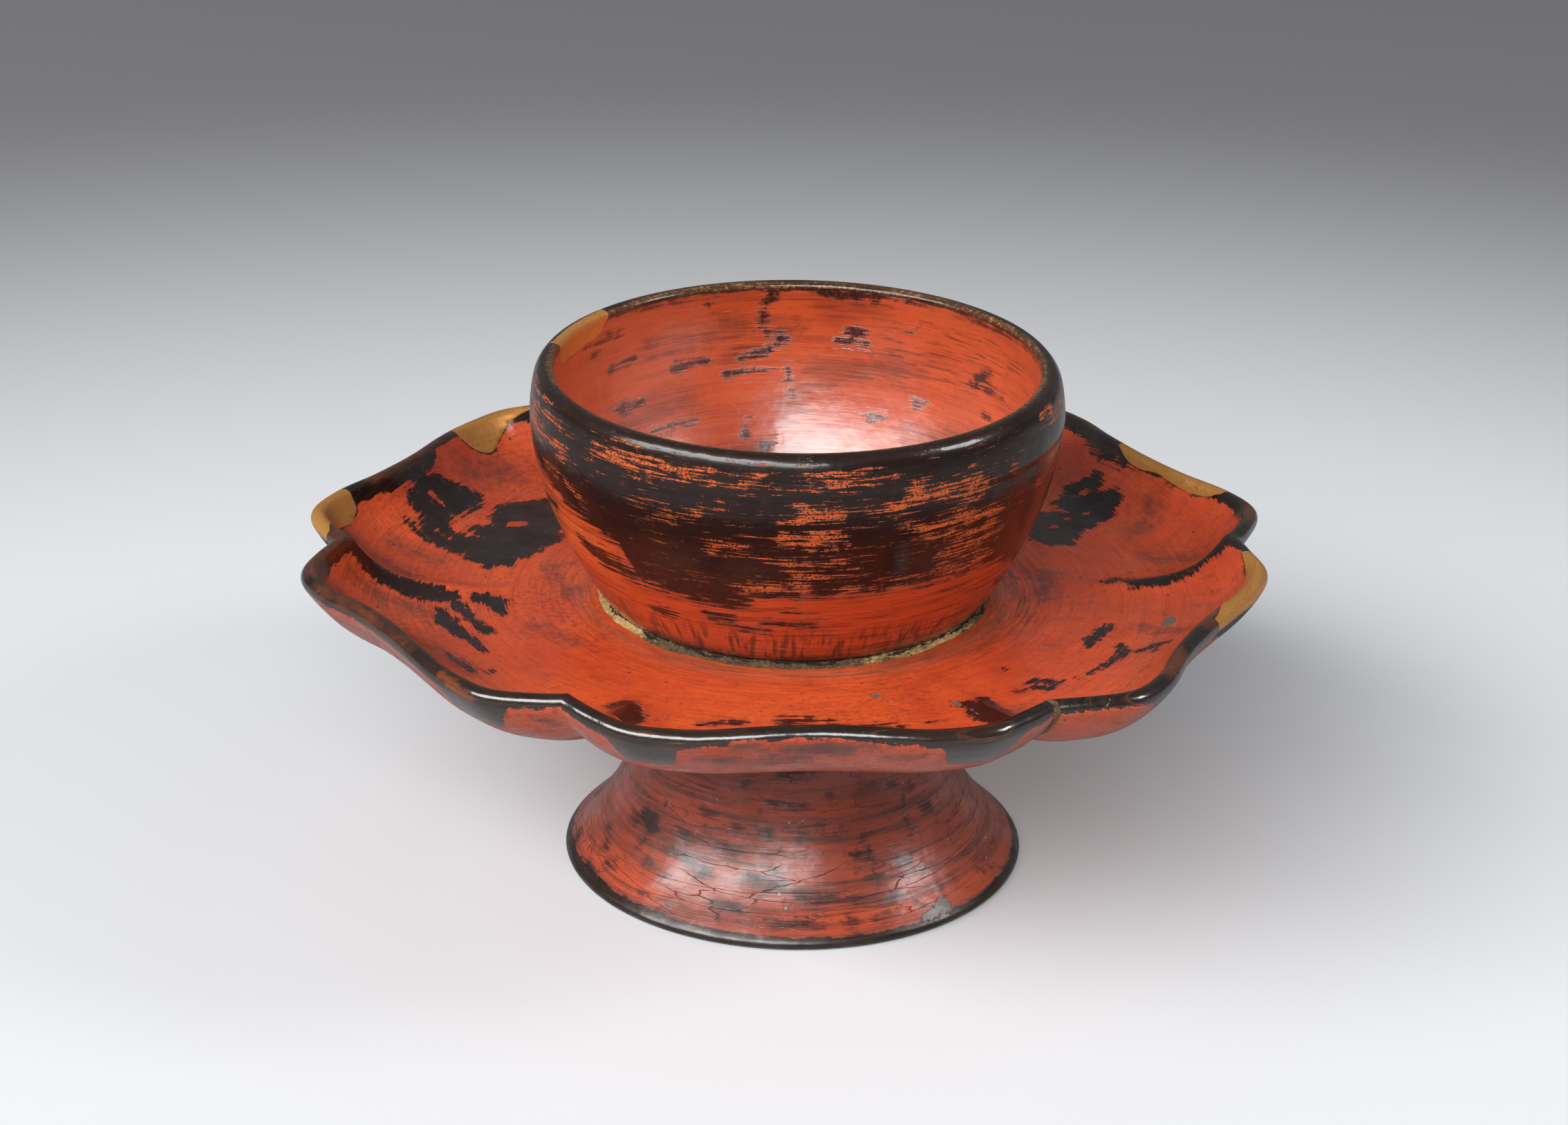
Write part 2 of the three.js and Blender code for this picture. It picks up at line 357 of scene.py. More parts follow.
def new_finish(name, roughness, coat=0.0, coat_roughness=0.1):
    """A material with only its surface shader, whose plain numbers are set on the shader itself."""
    finish = bpy.data.materials.new(name)
    finish.use_nodes = True
    tree = finish.node_tree
    shader = tree.nodes["Principled BSDF"]
    shader.inputs["Roughness"].default_value = roughness
    shader.inputs["Coat Weight"].default_value = coat
    shader.inputs["Coat Roughness"].default_value = coat_roughness
    return finish, tree, shader


def stored(tree, name, output="Fac"):
    return add_node(tree, "ShaderNodeAttribute", attribute_name=name).outputs[output]


def object_place(tree):
    return add_node(tree, "ShaderNodeTexCoord").outputs["Object"]


def ragged_mask(tree, at, field, blot, fray, soft):
    """The mask of a kind of wear, from a depth in mm or from the name of the depth that the piece stores."""
    depth = stored(tree, field) if isinstance(field, str) else field
    return use_group(tree, ragged_edge, Field=depth, Blot=blot, Fray=fray, Soft=soft, **at)["Mask"]


def grain_places(tree):
    """The two places that noise is read at: plain, and drawn out along the grain of turned work."""
    return {"Place": object_place(tree), "Grain": stored(tree, "grain", "Vector")}


def give_finishes(piece, *finishes):
    piece.data.materials.clear()
    for finish in finishes:
        piece.data.materials.append(finish)


def raise_surface(tree, shader, height_mm):
    bump = add_node(tree, "ShaderNodeBump", {"Height": height_mm, "Strength": 1.0, "Distance": MM})
    tree.links.new(bump.outputs["Normal"], shader.inputs["Normal"])
    tree.links.new(bump.outputs["Normal"], shader.inputs["Coat Normal"])


foot = turn_on_lathe("foot_lacquered", foot_outline(), 64, 2)
foot_places = points_of(foot)
foot_share = np.clip(1 - foot_places[:, 2] / foot_height, 0, 1) ** 2
foot_places[:, :2] *= 1 + (foot_spread / foot_base_radius) * foot_share[:, None]
foot_places[:, 0] += foot_drift * foot_share
move_points(foot, foot_places)
keep_grain(foot, -1.0)
foot_places = points_of(foot)
foot_angle = np.degrees(np.arctan2(foot_places[:, 1], foot_places[:, 0]))
foot_rise = foot_places[:, 2] / MM

# Black showing through the foot's red: each stroke is a list of (angle, height in mm, half width in mm)
foot_dark_strokes = [
    [(-147, 13.5, 1.3), (-141, 13.2, 1.9)],
    [(-154, 12.3, 0.5), (-149, 12.6, 0.9)],
    [(-129, 13.8, 0.6), (-126, 13.6, 0.8)],
    [(-131, 10.6, 0.3), (-128, 10.7, 0.7)],
    [(-113, 13.1, 0.7), (-107, 13.2, 0.5), (-96, 13.5, 0.15)],
    [(-109.5, 16.9, 0.5), (-107.5, 16.8, 0.7)],
    [(-101, 16.3, 0.4), (-97, 16.2, 0.8)],
    [(-87, 15.5, 0.8), (-83, 15.3, 0.6)],
    [(-92, 17.5, 0.4), (-78, 17.2, 0.3)],
    [(-76, 22.6, 0.5)],
    [(-40, 16.4, 0.8), (-36, 16.3, 0.9)],
    [(-30, 16, 0.4)],
    [(-65.5, 15, 0.5)],
    [(-67, 9.1, 0.3), (-63, 9, 0.6)],
    [(-163, 8.4, 0.3), (-160, 8.3, 0.5)],
    [(-158, 6.3, 0.5), (-155, 6, 0.4)],
    [(-152, 4.8, 0.3), (-147, 4.9, 0.4)],
    [(-158, 3.4, 0.4), (-153, 3.2, 0.3)],
    [(-137, 7.9, 0.3), (-135, 7.8, 0.4)],
    [(-130, 6.9, 0.4), (-127, 7, 0.5)],
    [(-142, 9.6, 0.4)],
    [(-171, 3.6, 0.4), (-175, 3.8, 0.3)],
    [(-94, 3.8, 0.3), (-88, 4.1, 0.5), (-81, 4, 0.35)],
    [(-74.5, 3.9, 0.3), (-73, 3.7, 0.35)],
    [(-77, 6.6, 0.3), (-66, 6.4, 0.5), (-58, 6.2, 0.4)],
    [(-67, 3.7, 0.3), (-60, 3.9, 0.3)],
    [(-95, 26.2, 0.3), (-86, 25.8, 0.35)],
    [(-104, 26.2, 0.2)],
    [(-53, 22.5, 0.4), (-50, 22, 0.3)],
    [(20, 12, 1.3), (26, 12.5, 0.8)],
    [(75, 9, 0.7), (84, 9.6, 1.3)],
    [(130, 15, 1.0)],
    [(165, 6, 0.6), (171, 6.5, 0.9)],
    [(-124, 10.2, 0.9), (-116, 9.6, 1.2)],
    [(-104, 9.6, 0.6), (-92, 9.0, 0.9)],
    [(-88, 7.4, 0.8), (-78, 7.2, 0.6)],
    [(-112, 5.4, 0.4), (-104, 5.2, 0.6)],
    [(-70, 12.6, 0.6), (-64, 12.2, 0.8)],
    [(-56, 10.4, 0.5), (-52, 10.0, 0.7)],
    [(-98, 21.4, 0.4), (-84, 21.0, 0.5)],
    [(-122, 18.4, 0.5), (-116, 18.0, 0.4)],
]
foot_chip_strokes = [[(-55, 2.2, 0.2), (-50.5, 3.0, 0.9), (-46.5, 2.9, 0.7)]]
foot_glow_strokes = [[(-165, 4, 1.0), (-150, 4.4, 2.4), (-130, 4.4, 1.6)], [(-90, 4.2, 1.4), (-32, 4.4, 2.2)]]
store(foot, "dark", round_field(foot_angle, foot_rise, foot_dark_strokes, 34))
store(foot, "chip", round_field(foot_angle, foot_rise, foot_chip_strokes, 38))
store(foot, "bead", 2.5 + 0.35 * np.sin(np.radians(foot_angle * 2 + 40)) - foot_rise)
store(foot, "glow", round_field(foot_angle, foot_rise, foot_glow_strokes, 36))


def make_foot_lacquer():
    finish, tree, shader = new_finish("foot_lacquer", 0.34, coat=0.8, coat_roughness=0.2)
    at = grain_places(tree)
    place, grain = at["Place"], at["Grain"]
    skin = use_group(tree, lacquer_skin, **at)
    dark = ragged_mask(tree, at, "dark", 0.5, 0.9, 1.3)
    glow = ragged_mask(tree, at, "glow", 0.8, 0.9, 3.0)
    bead = ragged_mask(tree, at, "bead", 0.22, 0.12, 0.15)
    chip = ragged_mask(tree, at, "chip", 0.7, 0.3, 0.12)
    cracks = use_group(tree, crazing, Grain=grain, Scale=380.0, Width=0.02)["Cracks"]
    clouds = stretch(tree, noise(tree, grain, 430, 6, 0.74, 0.4), 0.47, 0.62)
    flecks = stretch(tree, noise(tree, grain, 1400, 4, 0.65), 0.62, 0.69)
    warm = blend_colours(tree, skin["Mottle"], (0.28, 0.05, 0.027), (0.44, 0.08, 0.038))
    warm = blend_colours(tree, glow, warm, (0.52, 0.078, 0.028))
    spots = stretch(tree, noise(tree, place, 330, 5, 0.7, 0.3), 0.56, 0.68)
    red = lay_over(tree, warm, clouds, 0.8, (0.085, 0.03, 0.023))
    red = lay_over(tree, red, spots, 0.8, (0.04, 0.02, 0.018))
    red = lay_over(tree, red, flecks, 0.75, (0.035, 0.018, 0.015))
    red = lay_over(tree, red, skin["Specks"], 0.6, (0.05, 0.02, 0.016))
    red = lay_over(tree, red, dark, 0.9, (0.02, 0.015, 0.014))
    red = lay_over(tree, red, cracks, 0.8, (0.03, 0.012, 0.01))
    red = lay_over(tree, red, skin["Pits"], 0.8, (0.45, 0.3, 0.26))
    bead_colour = blend_colours(tree, skin["Streaks"], (0.008, 0.005, 0.004), (0.045, 0.02, 0.012))
    red = blend_colours(tree, bead, red, bead_colour)
    red = blend_colours(tree, chip, red, (0.19, 0.17, 0.15))
    tree.links.new(red, shader.inputs["Base Color"])
    dull = calculate(tree, "MULTIPLY_ADD", skin["Streaks"], 0.14, 0.26)
    dull = calculate(tree, "MULTIPLY_ADD", clouds, 0.1, dull)
    tree.links.new(dull, shader.inputs["Roughness"])
    polished = stretch(tree, noise(tree, place, 210, 6, 0.72), 0.42, 0.58)
    tree.links.new(calculate(tree, "MULTIPLY_ADD", polished, 0.75, 0.25), shader.inputs["Coat Weight"])
    height = calculate(tree, "MULTIPLY_ADD", cracks, -0.08, skin["Height"])
    height = calculate(tree, "MULTIPLY_ADD", chip, -0.25, height)
    raise_surface(tree, shader, height)
    return finish


give_finishes(foot, make_foot_lacquer())
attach(foot, "root")
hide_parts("foot")


# A bed of dry lacquer putty lies at the bottom of the foot's socket, under the cup's spigot. It was pressed
# in while soft, and is hidden once the stand is together.
def make_bedding_putty():
    finish, tree, shader = new_finish("bedding_putty", 0.85)
    place = object_place(tree)
    lumps = noise(tree, place, 900, 5, 0.7, 0.6)
    stained = stretch(tree, noise(tree, place, 240, 4, 0.7, 0.4), 0.42, 0.62)
    colour = blend_colours(tree, stained, (0.5, 0.36, 0.18), (0.2, 0.13, 0.07))
    fine = lay_over(tree, colour, lumps, 0.5, (0.1, 0.055, 0.025))
    tree.links.new(fine, shader.inputs["Base Color"])
    raise_surface(tree, shader, product(tree, lumps, 0.4))
    return finish


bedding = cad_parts["bedding_putty_ring"]
give_finishes(bedding, make_bedding_putty())

# The flange is one disc of wood, dished, drawn out to six petals and curled up to a rounded rim. Red lacquer
# covers black, and the black shows on the rim, on the ridges between the petals and in worn patches.
petal_count = 6
petal_turn = math.radians(3.0)
floor_top = foot_height + 3.5 * MM
floor_half = 1.75 * MM
rim_radius = 1.6 * MM
rim_rise = 9.85 * MM
rim_curl = 7.0
flat_radius = 38.0 * MM
plate_radius = 76.0 * MM
bore_radius = socket_radius
flange_steps = 480
off_centre = -0.8 * MM
rim_slope = -0.005

# A petal's edge from its middle to the notch: share of the way, reach in mm and height over the rim in mm
petal_edge = [
    (0, 75.3, 0.1),
    (0.25, 76.4, 0.1),
    (0.5, 79.1, -0.3),
    (0.7, 79.9, -0.3),
    (0.85, 77.7, -0.1),
    (1, 75.2, 0.5),
]

# How far each petal departs from that, in mm: at its clockwise shoulder, its middle and its other shoulder
petal_drift = {
    -87: (-0.46, 1.17, -0.31),
    -147: (1.05, 0.29, -0.84),
    -27: (0.59, 0.0, -0.67),
    153: (-1.41, -0.55, 0.97),
    93: (0.0, 0.0, 0.0),
    33: (0.98, -0.9, 0.1),
}
shoulder_share = [(0, 0), (0.3, 0.1), (0.5, 1), (0.85, 1), (1, 0)]
middle_share = [(0, 1), (0.3, 0.9), (0.55, 0), (1, 0)]

# How much higher or lower than that the rim lies at a notch and at the middle of a petal, in mm
notch_lift = {-117: 0.4, -57: -0.9, -177: -0.3, 3: -0.3}
middle_lift = {-87: 0.5}

# The ridge between two petals: share of the way out to the rim, and height in mm
ridge_knots = [(0, 0), (0.35, 0.3), (0.6, 0.95), (0.76, 1.05), (0.85, 0.8), (0.95, 0.3), (1, -0.2)]
ridge_width = 3.4 * MM


def through_knots(knots, share):
    """A smooth curve through (place, value) knots, level at its first knot."""
    places = np.array([k[0] for k in knots], float)
    values = np.array([k[1] for k in knots], float)
    slopes = np.gradient(values, places)
    slopes[0] = 0
    index = np.clip(np.searchsorted(places, share, side="right") - 1, 0, len(places) - 2)
    width = places[index + 1] - places[index]
    t = np.clip((share - places[index]) / width, 0, 1)
    rise = values[index + 1] - values[index]
    m0, m1 = slopes[index] * width, slopes[index + 1] * width
    return values[index] + t * m0 + t**2 * (3 * rise - 2 * m0 - m1) + t**3 * (m0 + m1 - 2 * rise)


def petal_place(angle):
    """The signed share of the way from the petal's middle to a notch, and the middle's angle in degrees."""
    petal = math.tau / petal_count
    turned = (angle - petal_turn) % petal
    middle = np.degrees(angle - turned + petal / 2)
    return (turned - petal / 2) / (petal / 2), (middle + 180) % 360 - 180


def rim_at(angle):
    """How far the rim reaches from the axis, and its height over the plain rim."""
    share, middle = petal_place(angle)
    away = np.abs(share)
    reach = through_knots([(k[0], k[1]) for k in petal_edge], away)
    lift = through_knots([(k[0], k[2]) for k in petal_edge], away)
    for petal, (low, centre, high) in petal_drift.items():
        side = np.where(share < 0, low, high) * through_knots(shoulder_share, away)
        drift = side + centre * through_knots(middle_share, away)
        reach = reach + np.where(np.abs(middle - petal) < 2, drift, 0)
    near_notch = np.clip((away - 0.7) / 0.3, 0, 1) ** 2
    notch = (middle + np.sign(share) * 30 + 180) % 360 - 180
    for place, extra in notch_lift.items():
        lift = lift + np.where(np.abs(notch - place) < 2, extra * near_notch, 0)
    for petal, extra in middle_lift.items():
        lift = lift + np.where(np.abs(middle - petal) < 2, extra * np.exp(-((away / 0.3) ** 2)), 0)
    return reach * MM, lift * MM


def middle_line(share, angle):
    """The middle of the flange's thickness at a share of the way from the flat floor to the rim."""
    reach, lift = rim_at(angle)
    run = reach - flat_radius
    from_notch = (1 - np.abs(petal_place(angle)[0])) * math.pi / petal_count * reach
    ridge = through_knots(ridge_knots, share) * MM * np.exp(-((from_notch / ridge_width) ** 1.6))
    rise = rim_rise * share**rim_curl + lift * share**3 + ridge
    lean = np.arctan(rim_rise * rim_curl * share ** (rim_curl - 1) / run)
    return flat_radius + share * run, floor_top - floor_half + rise, lean


def dish(piece):
    """Draws a plain round plate out to the petals and curls its edge up to the rim."""
    places = points_of(piece)
    angle = np.arctan2(places[:, 1], places[:, 0])
    distance = np.hypot(places[:, 0], places[:, 1])
    side = places[:, 2] / floor_half
    share = np.clip((distance - flat_radius) / (plate_radius - flat_radius), 0, 1)
    past_edge = np.maximum(distance - plate_radius, 0)
    half = floor_half + (rim_radius - floor_half) * share
    line_r, line_z, lean = middle_line(share, angle)
    line_r = np.where(distance < flat_radius, distance, line_r)
    out = line_r - side * half * np.sin(lean) + past_edge * np.cos(lean)
    up = line_z + side * half * np.cos(lean) + past_edge * np.sin(lean)
    move_points(piece, np.column_stack((out * np.cos(angle), out * np.sin(angle), up)))


def along_rim(places):
    """For each place on the flange, the angle in degrees and the distance in mm from the rim's outer turn,
    counted along the surface: positive over the inside and the floor, negative down the outside."""
    angle = np.arctan2(places[:, 1], places[:, 0])
    distance = np.hypot(places[:, 0], places[:, 1])
    best = np.full(len(places), np.inf)
    found = [np.zeros(len(places)) for _ in range(4)]
    for share in np.linspace(0, 1, 101):
        line = (np.full(len(places), share), *middle_line(np.full(len(places), share), angle))
        gap = (distance - line[1]) ** 2 + (places[:, 2] - line[2]) ** 2
        nearer = gap < best
        best = np.where(nearer, gap, best)
        found = [np.where(nearer, new, old) for new, old in zip(line, found)]
    share, line_r, line_z, lean = found
    off_r, off_z = distance - line_r, places[:, 2] - line_z
    inward = -off_r * np.sin(lean) + off_z * np.cos(lean)
    outward = off_r * np.cos(lean) + off_z * np.sin(lean)
    steps = np.linspace(0, 1, 201)
    climb = np.hypot(plate_radius - flat_radius, rim_rise * rim_curl * steps ** (rim_curl - 1))
    travelled = np.concatenate(([0], np.cumsum((climb[1:] + climb[:-1]) / 2 * np.diff(steps))))
    left = travelled[-1] - np.interp(share, steps, travelled) + np.maximum(flat_radius - distance, 0)
    turned = np.clip(np.arctan2(inward, np.maximum(outward, 1e-9)), -math.pi / 2, math.pi / 2)
    round_end = turned * rim_radius
    flat_side = np.sign(inward) * (left + rim_radius * math.pi / 2)
    return np.degrees(angle), np.where(share > 0.995, round_end, flat_side) / MM


def plate_outline():
    """The plain plate that the dishing starts from, with a round edge, lying level round z = 0."""
    inner = np.linspace(bore_radius, flat_radius, 8)
    radii = np.concatenate((inner, np.linspace(flat_radius, plate_radius, 52)[1:]))
    turns = np.radians(np.linspace(90, -90, 13))[1:-1]
    edge = [(plate_radius + rim_radius * math.cos(t), floor_half * math.sin(t)) for t in turns]
    top = [(r, floor_half) for r in radii]
    bottom = [(r, -floor_half) for r in radii[::-1]]
    return top + edge + bottom


flange = turn_on_lathe("flange_lacquered", plate_outline(), flange_steps, 0, petal_turn)
dish(flange)

# Losses in the rim, each as (angle in degrees, depth behind the rim in mm) along its inner edge
rim_losses = {
    "gold_fill_left": [
        (167.2, 1.0), (167.7, 2.4), (169.1, 3.5), (171, 4.0), (172.5, 3.8),
        (174.1, 3.3), (176.3, 2.0), (178.5, 0.5), (180.7, -1.0),
    ],
    "gold_fill_back_left": [
        (126.5, 0.6), (129, 1.0), (131, 1.5), (133.3, 2.3),
        (135.6, 3.4), (138, 4.4), (141, 3.2), (143.2, 1.2),
    ],
    "gold_fill_back_right": [
        (17.6, 1.0), (18.7, 1.7), (20.9, 2.1), (24.2, 1.9),
        (27.7, 1.6), (31, 1.9), (35.6, 1.4), (37.5, 0.7),
    ],
    "gold_fill_right": [
        (-24.8, -0.6), (-21, 0.6), (-17.2, 3.0), (-14.5, 5.2), (-12.5, 6.2),
        (-10.5, 5.0), (-8, 2.6), (-5, 1.8), (-2, 0.9),
    ],
    "notch_putty": [(-57.6, 2.0), (-57.1, 2.7), (-56.6, 1.6)],
}
rim_room = 7.0 * MM
seam = 0.05 * MM
crease_angle = math.radians(50)
inner_knots = 33
prism_height = 0.1


def loss_outline(knots, drawn_in):
    """The plan of a loss, from its inner edge to well past the rim. A fill's plan is drawn in a little."""
    first, last = knots[0][0], knots[-1][0]
    trim = math.degrees(drawn_in / plate_radius)
    inner_angles = np.linspace(first + trim, last - trim, inner_knots)
    inner_reach, _ = rim_at(np.radians(inner_angles))
    inner = inner_reach - through_knots(knots, inner_angles) * MM + drawn_in
    outer_angles = np.linspace(last - trim, first + trim, 9)
    outer_reach, _ = rim_at(np.radians(outer_angles))
    angles = np.radians(np.concatenate((inner_angles, outer_angles)))
    reaches = np.concatenate((inner, outer_reach + rim_room))
    return [(r * math.cos(a), r * math.sin(a)) for a, r in zip(angles, reaches)]


def plan_prism(name, outline):
    """An upright prism over an outline seen from above, tall enough to pass through the flange."""
    deselect_all()
    bpy.ops.mesh.primitive_circle_add(vertices=len(outline), radius=1, fill_type="NGON", location=(0, 0, 0))
    prism = bpy.context.object
    prism.name = name
    for vertex, (x, y) in zip(prism.data.vertices, outline):
        vertex.co = (x, y, 0)
    bpy.ops.object.mode_set(mode="EDIT")
    bpy.ops.mesh.select_all(action="SELECT")
    bpy.ops.mesh.extrude_region_move(TRANSFORM_OT_translate={"value": (0, 0, prism_height)})
    bpy.ops.mesh.select_all(action="SELECT")
    bpy.ops.mesh.normals_make_consistent(inside=False)
    bpy.ops.object.mode_set(mode="OBJECT")
    return prism


def copy_of(piece, name):
    twin = piece.copy()
    twin.data = piece.data.copy()
    twin.name = name
    bpy.context.scene.collection.objects.link(twin)
    return twin


def pick(piece):
    deselect_all()
    piece.select_set(True)
    bpy.context.view_layer.objects.active = piece


def cut_with(piece, cutter, operation):
    """Cuts the piece with a closed cutter, which is then thrown away."""
    pick(piece)
    cut = piece.modifiers.new("cut", "BOOLEAN")
    cut.solver = "MANIFOLD"
    cut.operation = operation
    cut.object = cutter
    bpy.ops.object.modifier_apply(modifier=cut.name)
    bpy.data.objects.remove(cutter)


rim_fills = {}
for loss_name, loss_knots in rim_losses.items():
    fill = copy_of(flange, loss_name + "_piece")
    cut_with(fill, plan_prism("fill_prism", loss_outline(loss_knots, seam)), "INTERSECT")
    rim_fills[loss_name] = fill
for loss_knots in rim_losses.values():
    cut_with(flange, plan_prism("loss_prism", loss_outline(loss_knots, 0)), "DIFFERENCE")


def set_on_axis(piece):
    """Shifts and leans the petals as they were carved, a little off the turning axis and off level."""
    places = points_of(piece)
    distance = np.hypot(places[:, 0], places[:, 1])
    share = np.clip((distance - flat_radius) / (plate_radius - flat_radius), 0, 1)
    places[:, 2] += rim_slope * places[:, 0] * share**2
    places[:, 0] += off_centre * share
    move_points(piece, places)


# Worn patches on the inside of the flange, each a list of (x, y, half width) in mm as seen from above
flange_worn_strokes = [
    [(-62.5, 32.6, 1.8), (-58, 33.4, 3.0), (-56.3, 34.8, 1.5)],
    [(-64.8, 29.6, 2.4), (-61, 29.6, 3.3), (-58.6, 30.6, 2.0)],
    [(-65.6, 25.6, 1.9), (-62.4, 25, 2.6), (-61.5, 22.5, 1.6)],
    [(-63.2, 21.6, 2.1), (-62.5, 18.2, 1.9)],
    [(-66.5, 20, 0.7), (-63.5, 16.8, 0.9)],
    [(-44.5, 35, 3.4), (-50, 32.2, 3.2)],
    [(-45, 29, 6), (-50.5, 27.8, 3.2)],
    [(-53.2, 22.6, 3.0), (-47.5, 22, 6)],
    [(-57, 16.6, 3.3), (-50, 16.5, 5.2), (-44.5, 20.5, 4)],
    [(-54.2, 11.6, 2.8), (-51, 10.2, 3.2)],
    [(-62.6, 17.6, 1.6), (-57.5, 14.8, 2.4)],
    [(-61.2, 21.4, 1.2), (-57.4, 18.6, 1.6)],
    [(-52.2, 7, 1.3)],
    [(-46.8, 11.8, 0.8), (-44.6, 14.6, 0.9)],
    [(-77, -3.5, 1.8), (-70, -4.8, 1.9), (-64, -5.9, 2.2), (-58.5, -6.4, 2.3)],
    [(-52.6, -6.4, 1.7), (-49.8, -8.6, 1.9), (-48.4, -13, 0.6)],
    [(-58.6, -12, 1.0), (-57.5, -17, 1.6), (-54.5, -21.5, 1.4), (-52.3, -25, 0.8), (-50.3, -28.8, 0.3)],
    [(-56.8, -8.5, 1.0), (-55, -12, 1.4), (-52.5, -16.5, 1.1), (-50.2, -20.5, 0.8)],
    [(-56, -30.5, 0.4), (-53.5, -34, 0.8), (-51.2, -37.5, 0.7)],
    [(-48.6, -36.6, 0.6)],
    [(-26.6, -49.6, 2.6), (-25.6, -53.6, 2.8)],
    [(-10, -52.4, 0.2), (-8, -53.8, 1.1)],
    [(-1.5, -53.6, 1.0), (2.5, -53.2, 1.1)],
    [(6, -54.4, 0.5), (9, -54, 0.4)],
    [(13.5, -54.2, 0.5), (16, -53.4, 0.1)],
    [(27.4, -46.2, 0.8), (29, -47, 1.6), (31, -50, 2.6), (33.6, -53.6, 2.4)],
    [(31.4, -43.8, 0.5), (31.6, -46, 1.4)],
    [(31, -45, 1.4), (32.6, -48.6, 1.6), (35, -53, 2.2)],
    [(-14, -54.8, 0.3), (-11, -54.2, 0.35)],
    [(4, -52.7, 0.3), (8, -53.1, 0.25)],
    [(-1.4, -51.8, 0.2), (3.4, -51.6, 0.1)],
    [(8, -54.8, 0.5), (18, -54.6, 0.4)],
    [(22, -53, 0.1), (24.5, -52.2, 0.15)],
    [(38.3, -38.3, 0.6), (40, -36.2, 1.0), (43.3, -36.5, 0.8), (42, -39, 1.0), (39.4, -38.9, 0.7)],
    [(36.5, -41, 0.1), (38.5, -39.4, 0.3)],
    [(-6.8, -45, 0.25)],
    [(34.5, -32, 0.2), (35, -33, 0.3)],
    [(53.3, -13.5, 0.6), (51.2, -17.5, 1.2), (49, -22, 1.2)],
    [(54.8, -22.3, 1.0), (54.5, -26, 1.2)],
    [(57, -25.4, 0.5), (62, -22.8, 0.7)],
    [(60, -26.2, 0.6)],
    [(53.4, -27.6, 1.0), (50.5, -31.6, 0.5)],
    [(46.5, -35.2, 0.2), (49.5, -32.6, 0.3)],
    [(53.6, 3.7, 1.1), (56, 4.7, 1.3), (59.5, 2.8, 1.9), (65, 2.9, 1.5), (71, 3.6, 1.2), (76.5, 2.6, 1.7)],
    [(57, 0.9, 0.3), (59, 1.4, 0.8)],
    [(50.6, 43, 2.0), (54, 42.6, 2.2)],
    [(48.5, 38.5, 2.4), (52, 37.4, 3.8), (56, 36, 3.0)],
    [(46, 32, 4), (51, 31.5, 3.8), (55, 32.6, 2.2)],
    [(44.5, 26, 3.4), (48, 26.4, 3.2)],
    [(43, 23, 1.0), (46.5, 22, 2.0), (48.5, 21.5, 1.2)],
    [(53.5, 57, 1.2), (56.5, 51, 2.4), (59, 46, 3.0), (61.5, 41, 1.8), (66, 36.5, 0.6)],
    [(-8, 63, 2.6), (-2, 64, 1.8)],
    [(14, 58, 1.2), (19, 60, 2.2)],
    [(-30, 56, 1.0), (-24, 59, 2.4)],
]
flange_spared_strokes = [
    [(-63.6, 29, 0.7), (-61.8, 28.6, 0.5)],
    [(-49.4, 26.2, 1.1), (-47.8, 26.6, 1.1)],
    [(-54.2, 24.3, 0.4)],
    [(49, 32.4, 0.8)],
    [(52.3, 34, 0.7)],
    [(46.4, 29, 0.9)],
    [(52.5, 41, 0.9)],
    [(47, 38, 0.9)],
    [(40.5, -37.8, 0.6)],
    [(-62, 20.5, 0.5)],
]
flange_crack_strokes = [
    [(20.2, -34.5, 0.0), (23.4, -40.4, 0.04), (26, -44.6, 0.12), (29, -49, 0.12)],
    [(29, -49, 0.12), (32, -53, 0.08), (34.5, -56, 0.0)],
]

# Soft dirt on the red, drawn in the same way
flange_haze_strokes = [
    [(-74, -8, 1.5), (-60, -13, 2.2)],
    [(-58, -29, 1.2), (-52, -38, 1.8)],
    [(-76, 8, 2.0), (-66, 2, 2.0)],
    [(-68, 14, 1.5), (-61, 9, 2.0)],
    [(-42, 8, 1.2), (-38, -4, 1.4)],
    [(-58, 40, 1.8), (-52, 46, 2.2)],
    [(-42, -18, 1.4), (-36, -24, 1.6)],
    [(42, -4, 2.0), (44, 8, 2.4)],
    [(62, 16, 1.6), (70, 12, 2.0)],
    [(60, 24, 1.4), (64, 30, 2.0)],
    [(58, -14, 1.4), (66, -18, 1.6)],
    [(36, -50, 1.4), (44, -46, 1.6)],
]
flange_chip_strokes = [
    [(63.2, -13.6, 0.8), (63.9, -11.6, 0.7), (64.4, -10, 0.25)],
    [(13.1, -43.7, 0.5), (14, -43.4, 0.4)],
    [(18.3, -41.2, 0.25)],
    [(26.3, -45.4, 0.35), (27, -46.6, 0.3)],
    [(29, -48.6, 0.35)],
    [(53.6, -3, 0.3)],
]

